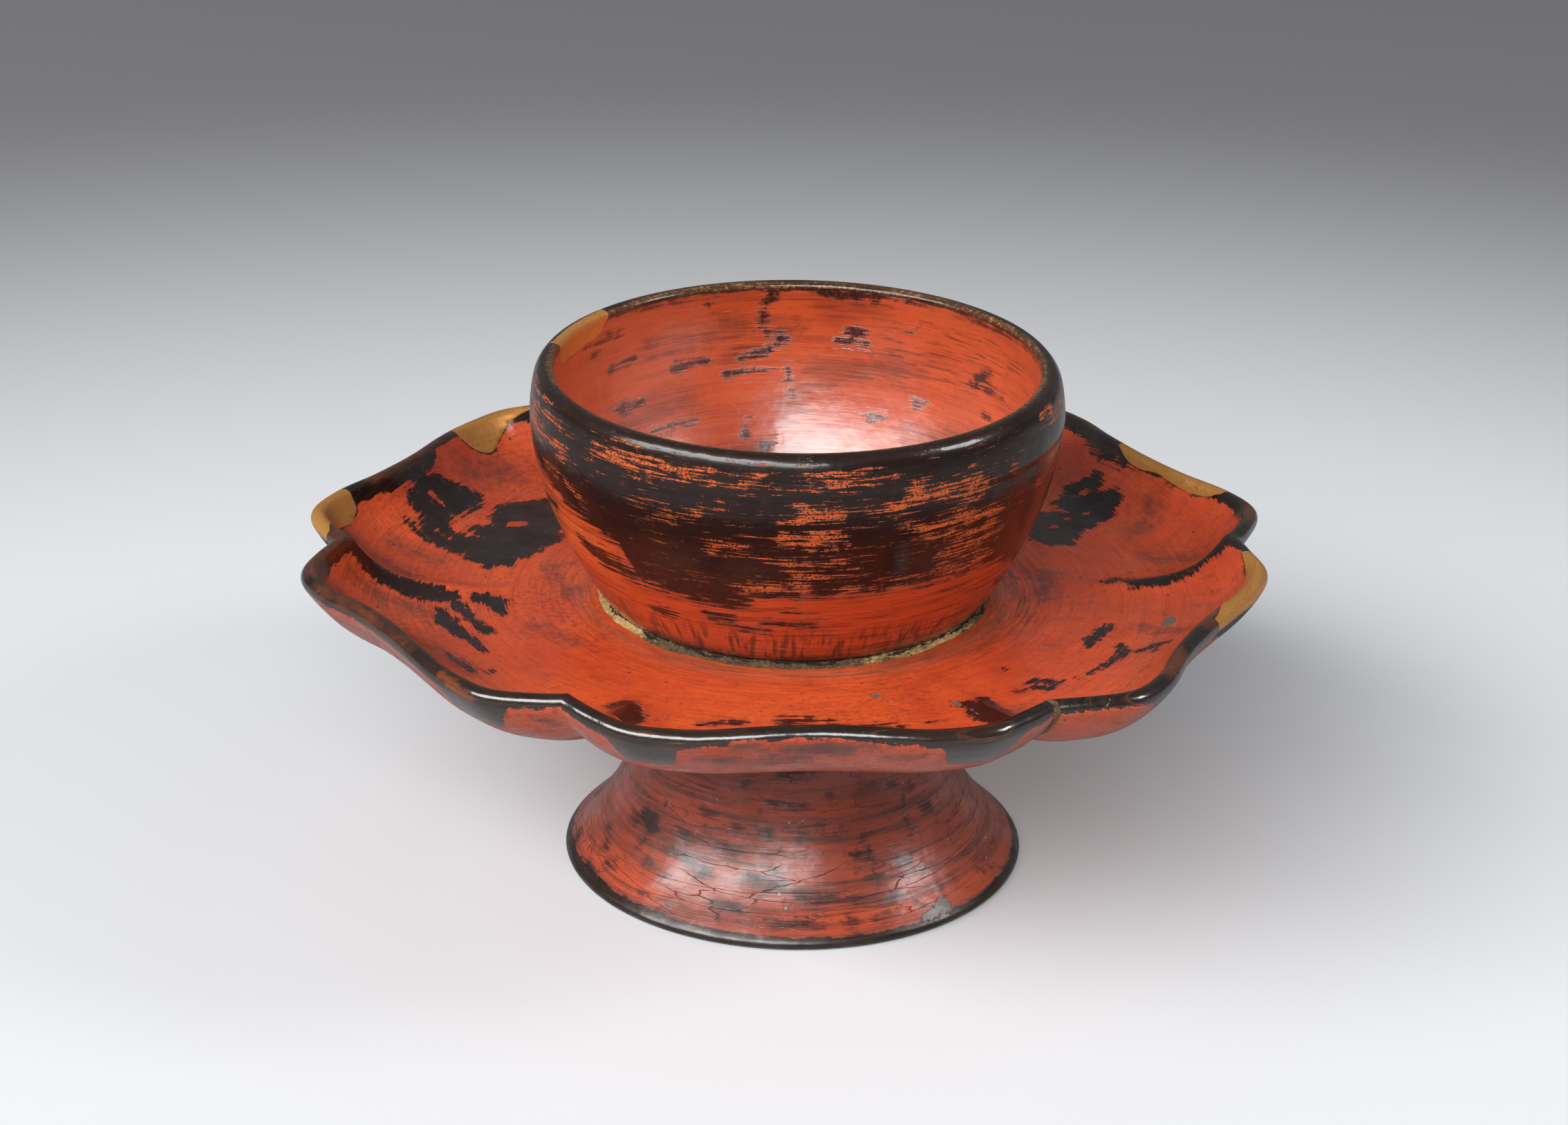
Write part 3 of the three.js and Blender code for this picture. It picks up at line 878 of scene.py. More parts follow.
# Where the rim's black lacquer begins on the inside and ends on the outside, both in mm from the rim's outer
# turn: (angle, inner limit, outer limit)
rim_band = [
    (-180, 4.0, -2.6), (-176, 4.3, -2.6), (-168, 4.6, -2.5), (-163, 4.2, -2.5), (-134, 4.2, -2.5),
    (-131.5, 4.2, -8), (-125, 4.2, -8), (-123.5, 4.2, -2.2), (-118, 4.2, -2.0), (-114.5, 4.2, -2.2),
    (-112, 4.2, -3.2), (-109.8, 4.2, -3.4), (-109.2, 4.2, -8), (-102.8, 4.2, -8), (-102.2, 4.2, -3.2),
    (-99, 4.2, -2.1), (-94, 4.2, -1.5), (-84, 4.2, -1.5), (-76, 4.2, -2.0), (-72.6, 4.2, -2.4),
    (-71.2, 4.2, -8), (-64.5, 4.2, -8), (-62.5, 4.2, -3), (-56, 4.2, -1.8), (-48, 4.2, -1.8),
    (-45.5, 4.2, -2.4), (-43.5, 4.2, -8), (-36.5, 4.2, -8), (-34.5, 4.2, -2.6), (-13, 4.0, -2.6),
    (-9, 2.0, -2.6), (0, 2.0, -2.6), (5, 2.8, -2.6), (12.5, 3.9, -2.6), (15.5, 3.6, -2.6), (17, 3.4, -2.6),
    (36, 3.4, -2.6), (38.5, 4.2, -2.6), (137, 4.2, -2.6), (141, 2.2, -2.6), (149, 2.2, -2.6),
    (152, 4.8, -2.6), (166, 4.8, -2.6), (180, 4.0, -2.6),
]
rim_worn_strokes = [
    [(-20, -5, 2.5), (-8, -6, 3.0)],
    [(45, -5, 1.8), (52, -7, 2.6)],
    [(100, -5, 2.0), (106, -8, 2.8)],
    [(172, -6, 2.4), (178, -5, 2.6)],
]
rim_smudge_strokes = [
    [(-125.5, -3.4, 0.5), (-124, -3.8, 0.6)],
    [(-120.5, -4.4, 0.7), (-118.6, -6.2, 0.9)],
    [(-93, -3.2, 0.5), (-91, -6.4, 0.4)],
    [(-86, -2.6, 0.5), (-80, -3.0, 0.5)],
    [(-98, -7.0, 0.6), (-88, -7.4, 0.8)],
    [(-95.5, -2.4, 0.7), (-93.5, -2.4, 0.7)],
    [(-90, -4.2, 1.0), (-83, -4.2, 1.3)],
    [(-100, -5.4, 0.4), (-96, -5.4, 0.5)],
    [(-160, -5.5, 0.4), (-140, -5.0, 0.6)],
    [(-79, -5.4, 0.4), (-75, -5.2, 0.4)],
]

# Places where the rim's dark lacquer is thin: dark brown, and where it is thinnest, orange brown
rim_brown_strokes = [
    [(-178, 0.4, 2.4), (-173, 1.0, 2.6), (-166, 1.6, 1.6)],
    [(-163, 0.2, 0.8), (-150, -0.4, 1.2), (-141, 0.0, 1.0)],
    [(-27, 0.6, 1.4), (-22, 0.8, 2.2)],
    [(-41, 0.6, 1.2), (-36, 0.2, 1.6)],
    [(143, 0.6, 0.8), (152, 0.4, 1.0), (163, 0.8, 1.4)],
    [(8, 0.5, 1.0), (13, 0.4, 1.4)],
    [(44, 0.6, 0.6), (60, 0.6, 0.5)],
    [(-104, -2.6, 0.5), (-101, -2.8, 0.6)],
    [(80, 0.5, 0.6), (112, 0.6, 1.0)],
]
rim_orange_strokes = [
    [(-176.5, 0.6, 0.1), (-174, 0.8, 0.3), (-170, 1.0, 0.1)],
    [(-133, -0.4, 0.8), (-130.5, -1.2, 1.3), (-127.5, -1.8, 0.7)],
    [(-108.4, -5.2, 0.3), (-107.6, -5.0, 0.3)],
]


def smooth_rounds(piece):
    """Shades the rounds smooth and keeps the edges of cuts sharp."""
    pick(piece)
    bpy.ops.object.shade_smooth_by_angle(angle=crease_angle)


def mark_flange_wear(piece, with_seams):
    """Stores how deep each vertex lies in every kind of wear, in mm."""
    places = points_of(piece)
    plan = places[:, :2] / MM
    angle, from_turn = along_rim(places)
    inside = np.where(from_turn > 1.5, 0, unworn_mm)
    store(piece, "worn", np.maximum(strokes_field(plan, flange_worn_strokes) + inside, unworn_mm))
    store(piece, "spared", strokes_field(plan, flange_spared_strokes) + inside)
    store(piece, "crack", strokes_field(plan, flange_crack_strokes) + inside)
    store(piece, "chip", strokes_field(plan, flange_chip_strokes) + inside)
    store(piece, "haze", strokes_field(plan, flange_haze_strokes) + inside)
    band_angles, inner_limits, outer_limits = zip(*rim_band)
    inner_limit = np.interp(angle, band_angles, inner_limits)
    outer_limit = np.interp(angle, band_angles, outer_limits)
    band = np.minimum(inner_limit - from_turn, from_turn - outer_limit)
    store(piece, "rim", np.maximum(band, round_field(angle, from_turn, rim_worn_strokes, 77)))
    store(piece, "brown", round_field(angle, from_turn, rim_brown_strokes, 77))
    store(piece, "orange", round_field(angle, from_turn, rim_orange_strokes, 77))
    store(piece, "smudge", round_field(angle, from_turn, rim_smudge_strokes, 77))
    store(piece, "from_turn", from_turn)
    distance = np.hypot(plan[:, 0], plan[:, 1])
    turning = np.exp(-(((distance - 38.5) / 4.5) ** 2)) * (0.25 + 0.6 * np.exp(-(((angle - 5) / 48) ** 2)))
    store(piece, "turning", turning * (from_turn > 0))
    staining = np.exp(-(((distance - 36.2) / 1.9) ** 2)) * (0.5 - 0.5 * np.sin(np.radians(angle - 10)))
    store(piece, "staining", staining * (from_turn > 0))
    if with_seams:
        near = np.full(len(places), unworn_mm)
        for knots in rim_losses.values():
            edge = loss_outline(knots, 0)[:inner_knots]
            line = [(x / MM, y / MM, 0.0) for x, y in edge]
            near = np.maximum(near, strokes_field(plan, [line]))
        store(piece, "seam", near)
    keep_grain(piece, 1.0)
    set_on_axis(piece)


mark_flange_wear(flange, True)
smooth_rounds(flange)


def make_rim_lacquer_group():
    """Rim lacquer: a colour that goes from black through dark brown to orange brown, broken along the rim."""
    inputs = [
        ("Brown", "NodeSocketFloat", 0.0),
        ("Orange", "NodeSocketFloat", 0.0),
        ("Place", "NodeSocketVector", None),
        ("Grain", "NodeSocketVector", None),
    ]
    group, given, result = new_group("rim_lacquer", inputs, [("Color", "NodeSocketColor")])
    source = given.outputs
    at = {"Place": source["Place"], "Grain": source["Grain"]}
    flow = stretch(group, noise(group, source["Grain"], 900, 5, 0.7, 0.8), 0.38, 0.66)
    blotch = stretch(group, noise(group, source["Place"], 150, 5, 0.7, 0.6), 0.34, 0.68)
    black = blend_colours(group, flow, (0.007, 0.004, 0.003), (0.034, 0.013, 0.006))
    thin = ragged_mask(group, at, source["Brown"], 0.6, 0.8, 1.6)
    brown = blend_colours(group, blotch, (0.04, 0.012, 0.004), (0.17, 0.04, 0.009))
    mixed = blend_colours(group, thin, black, brown)
    worn = ragged_mask(group, at, source["Orange"], 0.7, 0.8, 0.9)
    orange = blend_colours(group, flow, (0.06, 0.015, 0.004), (0.22, 0.052, 0.01))
    mixed = blend_colours(group, worn, mixed, orange)
    rubbed = stretch(group, noise(group, source["Grain"], 2600, 4, 0.7), 0.6, 0.68)
    patchy = stretch(group, noise(group, source["Place"], 150, 3, 0.6), 0.4, 0.6)
    rubbed = product(group, rubbed, product(group, patchy, 0.8))
    mixed = blend_colours(group, rubbed, mixed, (0.26, 0.085, 0.025))
    group.links.new(mixed, result.inputs["Color"])
    return group


rim_lacquer = make_rim_lacquer_group()


def make_flange_lacquer():
    finish, tree, shader = new_finish("flange_lacquer", 0.4, coat=0.8, coat_roughness=0.1)
    shader.inputs["Specular IOR Level"].default_value = 0.5
    shader.inputs["Coat IOR"].default_value = 1.65
    at = grain_places(tree)
    place, grain = at["Place"], at["Grain"]
    skin = use_group(tree, lacquer_skin, **at)
    worn_field = stored(tree, "worn")
    spared = ragged_mask(tree, at, "spared", 0.3, 0.35, 0.15)
    worn = ragged_mask(tree, at, worn_field, 0.7, 0.75, 0.14)
    worn = product(tree, worn, calculate(tree, "SUBTRACT", 1.0, spared))
    halo_field = calculate(tree, "ADD", worn_field, 0.4)
    halo = ragged_mask(tree, at, halo_field, 0.7, 0.75, 0.9)
    haze = ragged_mask(tree, at, "haze", 1.6, 1.0, 3.5)
    rim = ragged_mask(tree, at, "rim", 0.55, 0.35, 0.12)
    smudge = ragged_mask(tree, at, "smudge", 0.5, 0.5, 1.6)
    chip = ragged_mask(tree, at, "chip", 0.3, 0.2, 0.1)
    crack = ragged_mask(tree, at, "crack", 0.12, 0.1, 0.1)
    seam_field = calculate(tree, "ADD", stored(tree, "seam"), 0.14)
    seams = ragged_mask(tree, at, seam_field, 0.25, 0.15, 0.2)

    deep = blend_colours(tree, skin["Mottle"], (0.58, 0.06, 0.015), (0.82, 0.105, 0.022))
    wide = stretch(tree, noise(tree, place, 32, 3, 0.6, 0.6), 0.4, 0.62)
    deep = lay_over(tree, deep, wide, 0.6, (0.94, 0.145, 0.03))
    red = lay_over(tree, deep, skin["Streaks"], 0.4, (0.48, 0.045, 0.013))
    brushed = stretch(tree, noise(tree, grain, 2600, 3, 0.6), 0.5, 0.72)
    red = lay_over(tree, red, brushed, 0.4, (0.34, 0.034, 0.012))
    soil = stretch(tree, noise(tree, place, 420, 6, 0.8, 0.5), 0.53, 0.8)
    red = lay_over(tree, red, soil, 0.85, (0.1, 0.02, 0.012))
    dirty = stretch(tree, noise(tree, place, 26, 2, 0.5), 0.42, 0.6)
    grime = stretch(tree, noise(tree, place, 1000, 6, 0.78), 0.48, 0.64)
    grime = product(tree, grime, calculate(tree, "MULTIPLY_ADD", dirty, 0.5, 0.12))
    brush = stretch(tree, noise(tree, grain, 1100, 6, 0.8, 0.3), 0.54, 0.66)
    brush = product(tree, brush, calculate(tree, "MULTIPLY_ADD", wide, 0.3, 0.2))
    red = blend_colours(tree, brush, red, (0.16, 0.024, 0.012))
    red = blend_colours(tree, grime, red, (0.15, 0.026, 0.014))
    red = lay_over(tree, red, skin["Specks"], 0.7, (0.12, 0.018, 0.01))
    turning = product(tree, stored(tree, "turning"), stretch(tree, skin["Streaks"], 0.42, 0.75))
    red = lay_over(tree, red, turning, 0.9, (0.05, 0.024, 0.018))
    stain = product(tree, stored(tree, "staining"), stretch(tree, skin["Streaks"], 0.2, 0.9))
    red = lay_over(tree, red, stain, 0.6, (0.4, 0.19, 0.11))
    ring_soil = stretch(tree, noise(tree, grain, 1500, 5, 0.8), 0.46, 0.58)
    ring_soil = product(tree, stored(tree, "staining"), product(tree, ring_soil, 0.6))
    red = blend_colours(tree, ring_soil, red, (0.07, 0.035, 0.025))
    red = lay_over(tree, red, skin["Pits"], 0.7, (0.04, 0.015, 0.01))
    red = lay_over(tree, red, skin["Scratches"], 0.4, (0.8, 0.36, 0.22))
    red = lay_over(tree, red, halo, 0.35, (0.3, 0.025, 0.01))
    red = lay_over(tree, red, smudge, 0.8, (0.06, 0.032, 0.026))
    thick = stretch(tree, noise(tree, place, 700, 6, 0.78), 0.36, 0.6)
    hazy = product(tree, haze, calculate(tree, "MULTIPLY_ADD", thick, 0.55, 0.25))
    red = blend_colours(tree, hazy, red, (0.1, 0.036, 0.026))

    black = blend_colours(tree, skin["Mottle"], (0.01, 0.0055, 0.0045), (0.026, 0.011, 0.008))
    crumbs = stretch(tree, noise(tree, place, 1300, 4, 0.65), 0.58, 0.63)
    near_edge = stretch(tree, worn_field, 1.5, 0.0)
    left_red = product(tree, crumbs, product(tree, near_edge, 0.8))
    black = blend_colours(tree, left_red, black, (0.4, 0.035, 0.012))
    black = lay_over(tree, black, skin["Pits"], 0.4, (0.16, 0.08, 0.06))
    colour = blend_colours(tree, worn, red, black)
    thinned = {"Brown": stored(tree, "brown"), "Orange": stored(tree, "orange")}
    colour = blend_colours(tree, rim, colour, use_group(tree, rim_lacquer, **thinned, **at)["Color"])
    colour = blend_colours(tree, seams, colour, (0.02, 0.009, 0.006))
    colour = blend_colours(tree, chip, colour, (0.15, 0.13, 0.12))
    torn = stretch(tree, noise(tree, place, 900, 4, 0.7), 0.42, 0.56)
    colour = blend_colours(tree, product(tree, crack, torn), colour, (0.34, 0.24, 0.2))
    tree.links.new(colour, shader.inputs["Base Color"])
    satin = calculate(tree, "MULTIPLY_ADD", skin["Streaks"], 0.12, 0.42)
    satin = calculate(tree, "MULTIPLY_ADD", calculate(tree, "MAXIMUM", worn, rim), -0.2, satin)
    tree.links.new(satin, shader.inputs["Roughness"])
    rubbed = stretch(tree, noise(tree, place, 230, 5, 0.7), 0.38, 0.6)
    gloss = calculate(tree, "MAXIMUM", calculate(tree, "MULTIPLY_ADD", rubbed, 0.5, 0.4), rim)
    tree.links.new(gloss, shader.inputs["Coat Weight"])
    height = calculate(tree, "MULTIPLY_ADD", worn, -0.05, skin["Height"])
    height = calculate(tree, "MULTIPLY_ADD", chip, -0.12, height)
    height = calculate(tree, "MULTIPLY_ADD", crack, -0.02, height)
    height = calculate(tree, "MULTIPLY_ADD", rim, 0.03, height)
    raise_surface(tree, shader, height)
    return finish


give_finishes(flange, make_flange_lacquer())
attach(flange, "root")
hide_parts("flange")

# Four losses in the rim were built up again with lacquer putty and dusted with gold powder. The powder was
# rubbed smooth, wears thin at the edges, and below the crest the fills were coated black like the rim.
gold_edge_mm = -2.6


def make_gold():
    finish, tree, shader = new_finish("rim_gold", 0.36)
    at = grain_places(tree)
    place, grain = at["Place"], at["Grain"]
    skin = use_group(tree, lacquer_skin, **at)
    powder = noise(tree, place, 5200, 2, 0.6)
    brushed = stretch(tree, noise(tree, grain, 420, 5, 0.65, 0.6), 0.3, 0.7)
    gold = blend_colours(tree, brushed, (0.58, 0.24, 0.05), (0.84, 0.38, 0.1))
    gold = blend_colours(tree, stretch(tree, powder, 0.52, 0.7), gold, (0.95, 0.5, 0.17))
    worn = stretch(tree, noise(tree, place, 260, 5, 0.7, 0.5), 0.6, 0.72)
    gold = lay_over(tree, gold, worn, 0.55, (0.18, 0.07, 0.02))
    below = calculate(tree, "SUBTRACT", gold_edge_mm, stored(tree, "from_turn"))
    coated = ragged_mask(tree, at, below, 0.3, 0.3, 0.3)
    colour = blend_colours(tree, coated, gold, (0.02, 0.011, 0.008))
    tree.links.new(colour, shader.inputs["Base Color"])
    metal = product(tree, calculate(tree, "SUBTRACT", 1.0, coated), 0.5)
    tree.links.new(metal, shader.inputs["Metallic"])
    rough = calculate(tree, "MULTIPLY_ADD", powder, 0.14, 0.28)
    tree.links.new(rough, shader.inputs["Roughness"])
    height = calculate(tree, "MULTIPLY_ADD", powder, 0.02, skin["Height"])
    raise_surface(tree, shader, height)
    return finish


rim_gold = make_gold()


def dress_fill(name, finish):
    fill = rim_fills[name]
    mark_flange_wear(fill, False)
    smooth_rounds(fill)
    give_finishes(fill, finish)
    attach(fill, "root")
    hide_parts(name)


for fill_name in ("gold_fill_left", "gold_fill_back_left", "gold_fill_back_right", "gold_fill_right"):
    dress_fill(fill_name, rim_gold)

# One crack in the front right notch was stopped with putty that was left plain. It is cream, crumbly and
# stained dark by handling along its sides.
def make_notch_putty():
    finish, tree, shader = new_finish("notch_putty_cream", 0.7, coat=0.1)
    place = object_place(tree)
    grain = stored(tree, "grain", "Vector")
    crumbs = noise(tree, place, 1500, 5, 0.75, 0.4)
    stained = stretch(tree, noise(tree, place, 500, 4, 0.7, 0.6), 0.45, 0.58)
    colour = blend_colours(tree, stained, (0.24, 0.15, 0.07), (0.04, 0.02, 0.01))
    colour = blend_colours(tree, stretch(tree, crumbs, 0.48, 0.62), colour, (0.09, 0.04, 0.014))
    tree.links.new(colour, shader.inputs["Base Color"])
    raise_surface(tree, shader, product(tree, crumbs, 0.3))
    return finish


dress_fill("notch_putty", make_notch_putty())

# Lacquer putty was pressed into the angle between cup and flange and wiped round. It has dried to a thin
# ring, cream where it is clean and grey brown where soiled, uneven in width, with one long dark crack.
cup_foot_radius = 32.1 * MM
ring_width = 1.5 * MM
ring_height = 1.0 * MM

ring_outline = [
    (cup_foot_radius - 0.6 * MM, floor_top - 0.05 * MM),
    (cup_foot_radius + ring_width * 1.08, floor_top - 0.05 * MM),
    (cup_foot_radius + ring_width, floor_top + ring_height * 0.12),
    (cup_foot_radius + ring_width * 0.72, floor_top + ring_height * 0.38),
    (cup_foot_radius + ring_width * 0.46, floor_top + ring_height * 0.6),
    (cup_foot_radius + ring_width * 0.3, floor_top + ring_height * 0.92),
    (cup_foot_radius + ring_width * 0.1, floor_top + ring_height * 1.0),
    (cup_foot_radius - 0.6 * MM, floor_top + ring_height * 0.9),
]
putty_ring = turn_on_lathe("cup_putty_cracked", ring_outline, 220, 1)
ring_places = points_of(putty_ring)
ring_angle = np.arctan2(ring_places[:, 1], ring_places[:, 0])
ring_out = np.clip((np.hypot(ring_places[:, 0], ring_places[:, 1]) - cup_foot_radius) / ring_width, 0, 1.1)
ring_up = np.clip((ring_places[:, 2] - floor_top) / ring_height, 0, 1)


def wander(angle, size, seed):
    """An even wandering value round the axis, from about -0.5 to 0.5."""
    return np.array([fractal.noise((math.cos(a) * size, math.sin(a) * size, seed)) for a in angle])


spread = wander(ring_angle, 5, 1.5) * 1.1 + wander(ring_angle, 22, 4.5) * 0.7
sag = wander(ring_angle, 9, 7.5) * 0.7 + wander(ring_angle, 34, 2.5) * 0.35
ring_shift = spread * 0.5 * MM * ring_out
ring_places[:, 0] += np.cos(ring_angle) * ring_shift
ring_places[:, 1] += np.sin(ring_angle) * ring_shift
ring_places[:, 2] += (sag - 0.3) * 0.6 * MM * ring_up
move_points(putty_ring, ring_places)
keep_grain(putty_ring, 1.0)
crack_height = 0.6 + wander(ring_angle, 7, 9.5) * 0.3 + wander(ring_angle, 40, 3.5) * 0.12
store(putty_ring, "crack", 0.09 - np.abs(ring_out + 0.35 * ring_up - crack_height) * ring_width / MM)

# How clean the putty is, from soiled to cream: (angle in degrees, share)
ring_clean = [
    (-180, 0.7), (-168, 0.85), (-146, 0.8), (-136, 0.4), (-120, 0.0), (-100, 0.0),
    (-90, 0.15), (-77, 0.2), (-66, 0.55), (-36, 0.6), (-20, 0.2), (90, 0.3), (180, 0.7),
]
store(putty_ring, "clean", np.interp(np.degrees(ring_angle), *zip(*ring_clean)))


def make_ring_putty():
    finish, tree, shader = new_finish("ring_putty", 0.8)
    at = grain_places(tree)
    place, grain = at["Place"], at["Grain"]
    crumbs = noise(tree, place, 1900, 5, 0.75, 0.4)
    smears = noise(tree, grain, 1500, 5, 0.75, 0.5)
    blots = noise(tree, place, 420, 5, 0.75, 0.6)
    unevenness = product(tree, calculate(tree, "ADD", smears, blots), 0.5)
    limit = calculate(tree, "MULTIPLY_ADD", stored(tree, "clean"), -0.3, 0.66)
    cream_share = product(tree, calculate(tree, "SUBTRACT", unevenness, limit), 12.0)
    cream_mask = clamped(tree, calculate(tree, "ADD", cream_share, 0.5))
    crack = ragged_mask(tree, at, "crack", 0.12, 0.1, 0.08)
    fine = use_group(tree, crazing, Grain=grain, Scale=420.0, Width=0.03)["Cracks"]
    soiled = blend_colours(tree, stretch(tree, crumbs, 0.4, 0.62), (0.05, 0.028, 0.014), (0.17, 0.105, 0.045))
    cream = blend_colours(tree, stretch(tree, crumbs, 0.4, 0.62), (0.36, 0.23, 0.08), (0.66, 0.45, 0.18))
    colour = blend_colours(tree, cream_mask, soiled, cream)
    colour = lay_over(tree, colour, fine, 0.8, (0.04, 0.025, 0.018))
    colour = blend_colours(tree, crack, colour, (0.012, 0.008, 0.006))
    tree.links.new(colour, shader.inputs["Base Color"])
    height = calculate(tree, "MULTIPLY_ADD", crack, -0.5, product(tree, crumbs, 0.3))
    raise_surface(tree, shader, height)
    return finish


give_finishes(putty_ring, make_ring_putty())
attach(putty_ring, "root")
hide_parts("cup_putty_ring")

# The cup is turned thin, with a rounded lip and an open bottom, and its spigot goes down into the foot. Black
# lacquer lies over red on its outside, rubbed through in streaks round it, and its inside is red.
cup_low, cup_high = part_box("cup")
cup_lip = cup_high.z
cup_belly_radius = cup_high.x
cup_joint_radius = cup_foot_radius
cup_lip_radius = 43.5 * MM
cup_belly_height = 32.6 * MM
cup_swell = 1.8
cup_wall = 3.2 * MM
cup_floor = floor_top + 2.6 * MM
spigot_radius = bedding_high.x
throat_radius = spigot_radius - spigot_wall
spigot_end = cup_low.z


def cup_radius_at(z):
    belly = floor_top + cup_belly_height
    over = np.clip((z - belly) / (cup_lip - belly), 0, 1)
    under = np.clip((belly - z) / cup_belly_height, 0, 1)
    flare = (cup_belly_radius - cup_lip_radius) * over**2
    return cup_belly_radius - flare - (cup_belly_radius - cup_joint_radius) * under**cup_swell


def cup_outline():
    shoulder = cup_lip - cup_wall / 2
    middle = cup_lip_radius - cup_wall / 2
    outer = [(cup_radius_at(z), z) for z in np.linspace(floor_top, shoulder, 18)]
    lip = [
        (middle + 1.36 * MM, cup_lip - 0.6 * MM),
        (middle + 0.75 * MM, cup_lip - 0.08 * MM),
        (middle, cup_lip),
        (middle - 0.75 * MM, cup_lip - 0.08 * MM),
        (middle - 1.36 * MM, cup_lip - 0.6 * MM),
    ]
    inner = [(cup_radius_at(z) - cup_wall, z) for z in np.linspace(shoulder, cup_floor, 16)]
    throat = [
        (throat_radius + 0.4 * MM, cup_floor),
        (throat_radius, cup_floor - 0.4 * MM),
        (throat_radius, spigot_end + arris),
        (throat_radius + arris, spigot_end),
        (spigot_radius - arris, spigot_end),
        (spigot_radius, spigot_end + arris),
        (spigot_radius, floor_top - arris),
        (spigot_radius + 0.05 * MM, floor_top),
        (spigot_radius + 0.4 * MM, floor_top),
    ]
    return outer + lip + inner + throat


cup = turn_on_lathe("cup_lacquered", cup_outline(), 80, 2)

# The lip's chip: its lower edge as (angle in degrees, depth below the lip in mm)
lip_chip = [(143.5, 1.2), (146, 3.6), (152, 4.5), (160, 4.8), (167, 3.8), (169.5, 1.2)]
lip_chip_depth = 1.8 * MM


def chip_cutter(drawn_in):
    """A wedge that follows the inner wall of the cup at the chip's depth."""
    top = cup_lip + 1.0 * MM
    heights = np.linspace(cup_lip - 5.0 * MM, top, 7)
    wall = [(cup_radius_at(z) - cup_wall + lip_chip_depth - drawn_in, z) for z in heights]
    hollow = cup_radius_at(heights[0]) - cup_wall - 4.0 * MM
    cutter = draw_outline("chip_cutter", [(hollow, heights[0])] + wall + [(hollow, top)])
    bpy.ops.mesh.edge_face_add()
    start, end = math.radians(lip_chip[0][0]), math.radians(lip_chip[-1][0])
    trim = drawn_in / cup_lip_radius
    bpy.ops.transform.rotate(value=-(end - trim), orient_axis="Z", center_override=(0, 0, 0))
    bpy.ops.mesh.spin(steps=24, angle=end - start - 2 * trim, center=(0, 0, 0), axis=(0, 0, 1))
    bpy.ops.mesh.select_all(action="SELECT")
    bpy.ops.mesh.remove_doubles(threshold=0.001 * MM)
    bpy.ops.mesh.normals_make_consistent(inside=False)
    bpy.ops.object.mode_set(mode="OBJECT")
    places = points_of(cutter)
    angle = np.degrees(np.arctan2(places[:, 1], places[:, 0])) % 360
    lowered = cup_lip - through_knots(lip_chip, angle) * MM + drawn_in
    share = (places[:, 2] - heights[0]) / (top - heights[0])
    places[:, 2] = lowered + (top - lowered) * share
    move_points(cutter, places)
    return cutter


lip_fill = copy_of(cup, "gold_fill_cup_lip_piece")
cut_with(lip_fill, chip_cutter(seam), "INTERSECT")
cut_with(cup, chip_cutter(0), "DIFFERENCE")

# Where the red ground comes up under the cup's black: (angle, height in mm) of the ragged upper limit
cup_red_limit = [
    (-180, 80), (-172, 80), (-166, 77.5), (-155, 74.5), (-148, 72.8), (-138, 71.6), (-131, 69.5),
    (-128, 63.2), (-120, 62.6), (-112, 61.8), (-104, 61.2), (-98, 64.2), (-88, 64.8), (-60, 65.2),
    (-38, 64.8), (-28, 63), (-18, 60), (0, 61), (40, 66), (80, 63), (120, 66), (150, 70), (180, 80),
]
cup_dark_strokes = [
    [(-147, 66.6, 0.9), (-140, 65.2, 1.8), (-130, 64.6, 1.6)],
    [(-163, 79, 0.6), (-158, 77.6, 1.4), (-150, 76.4, 2.0)],
    [(-170, 70, 0.5), (-158, 70.2, 0.9)],
    [(-111, 59.2, 0.7), (-105, 59, 0.9)],
    [(-97, 59.4, 0.3), (-85, 58.6, 0.5)],
    [(-92, 61.2, 0.2), (-84, 60.6, 0.3)],
    [(-128, 57.4, 0.3), (-121, 58, 0.5)],
    [(-104, 57, 0.2), (-96, 57.2, 0.3)],
    [(-18, 73, 1.6), (-10, 71, 2.6), (-6, 66, 2.4), (-12, 63, 1.8)],
    [(-28, 58, 0.4), (-18, 56, 0.9)],
]
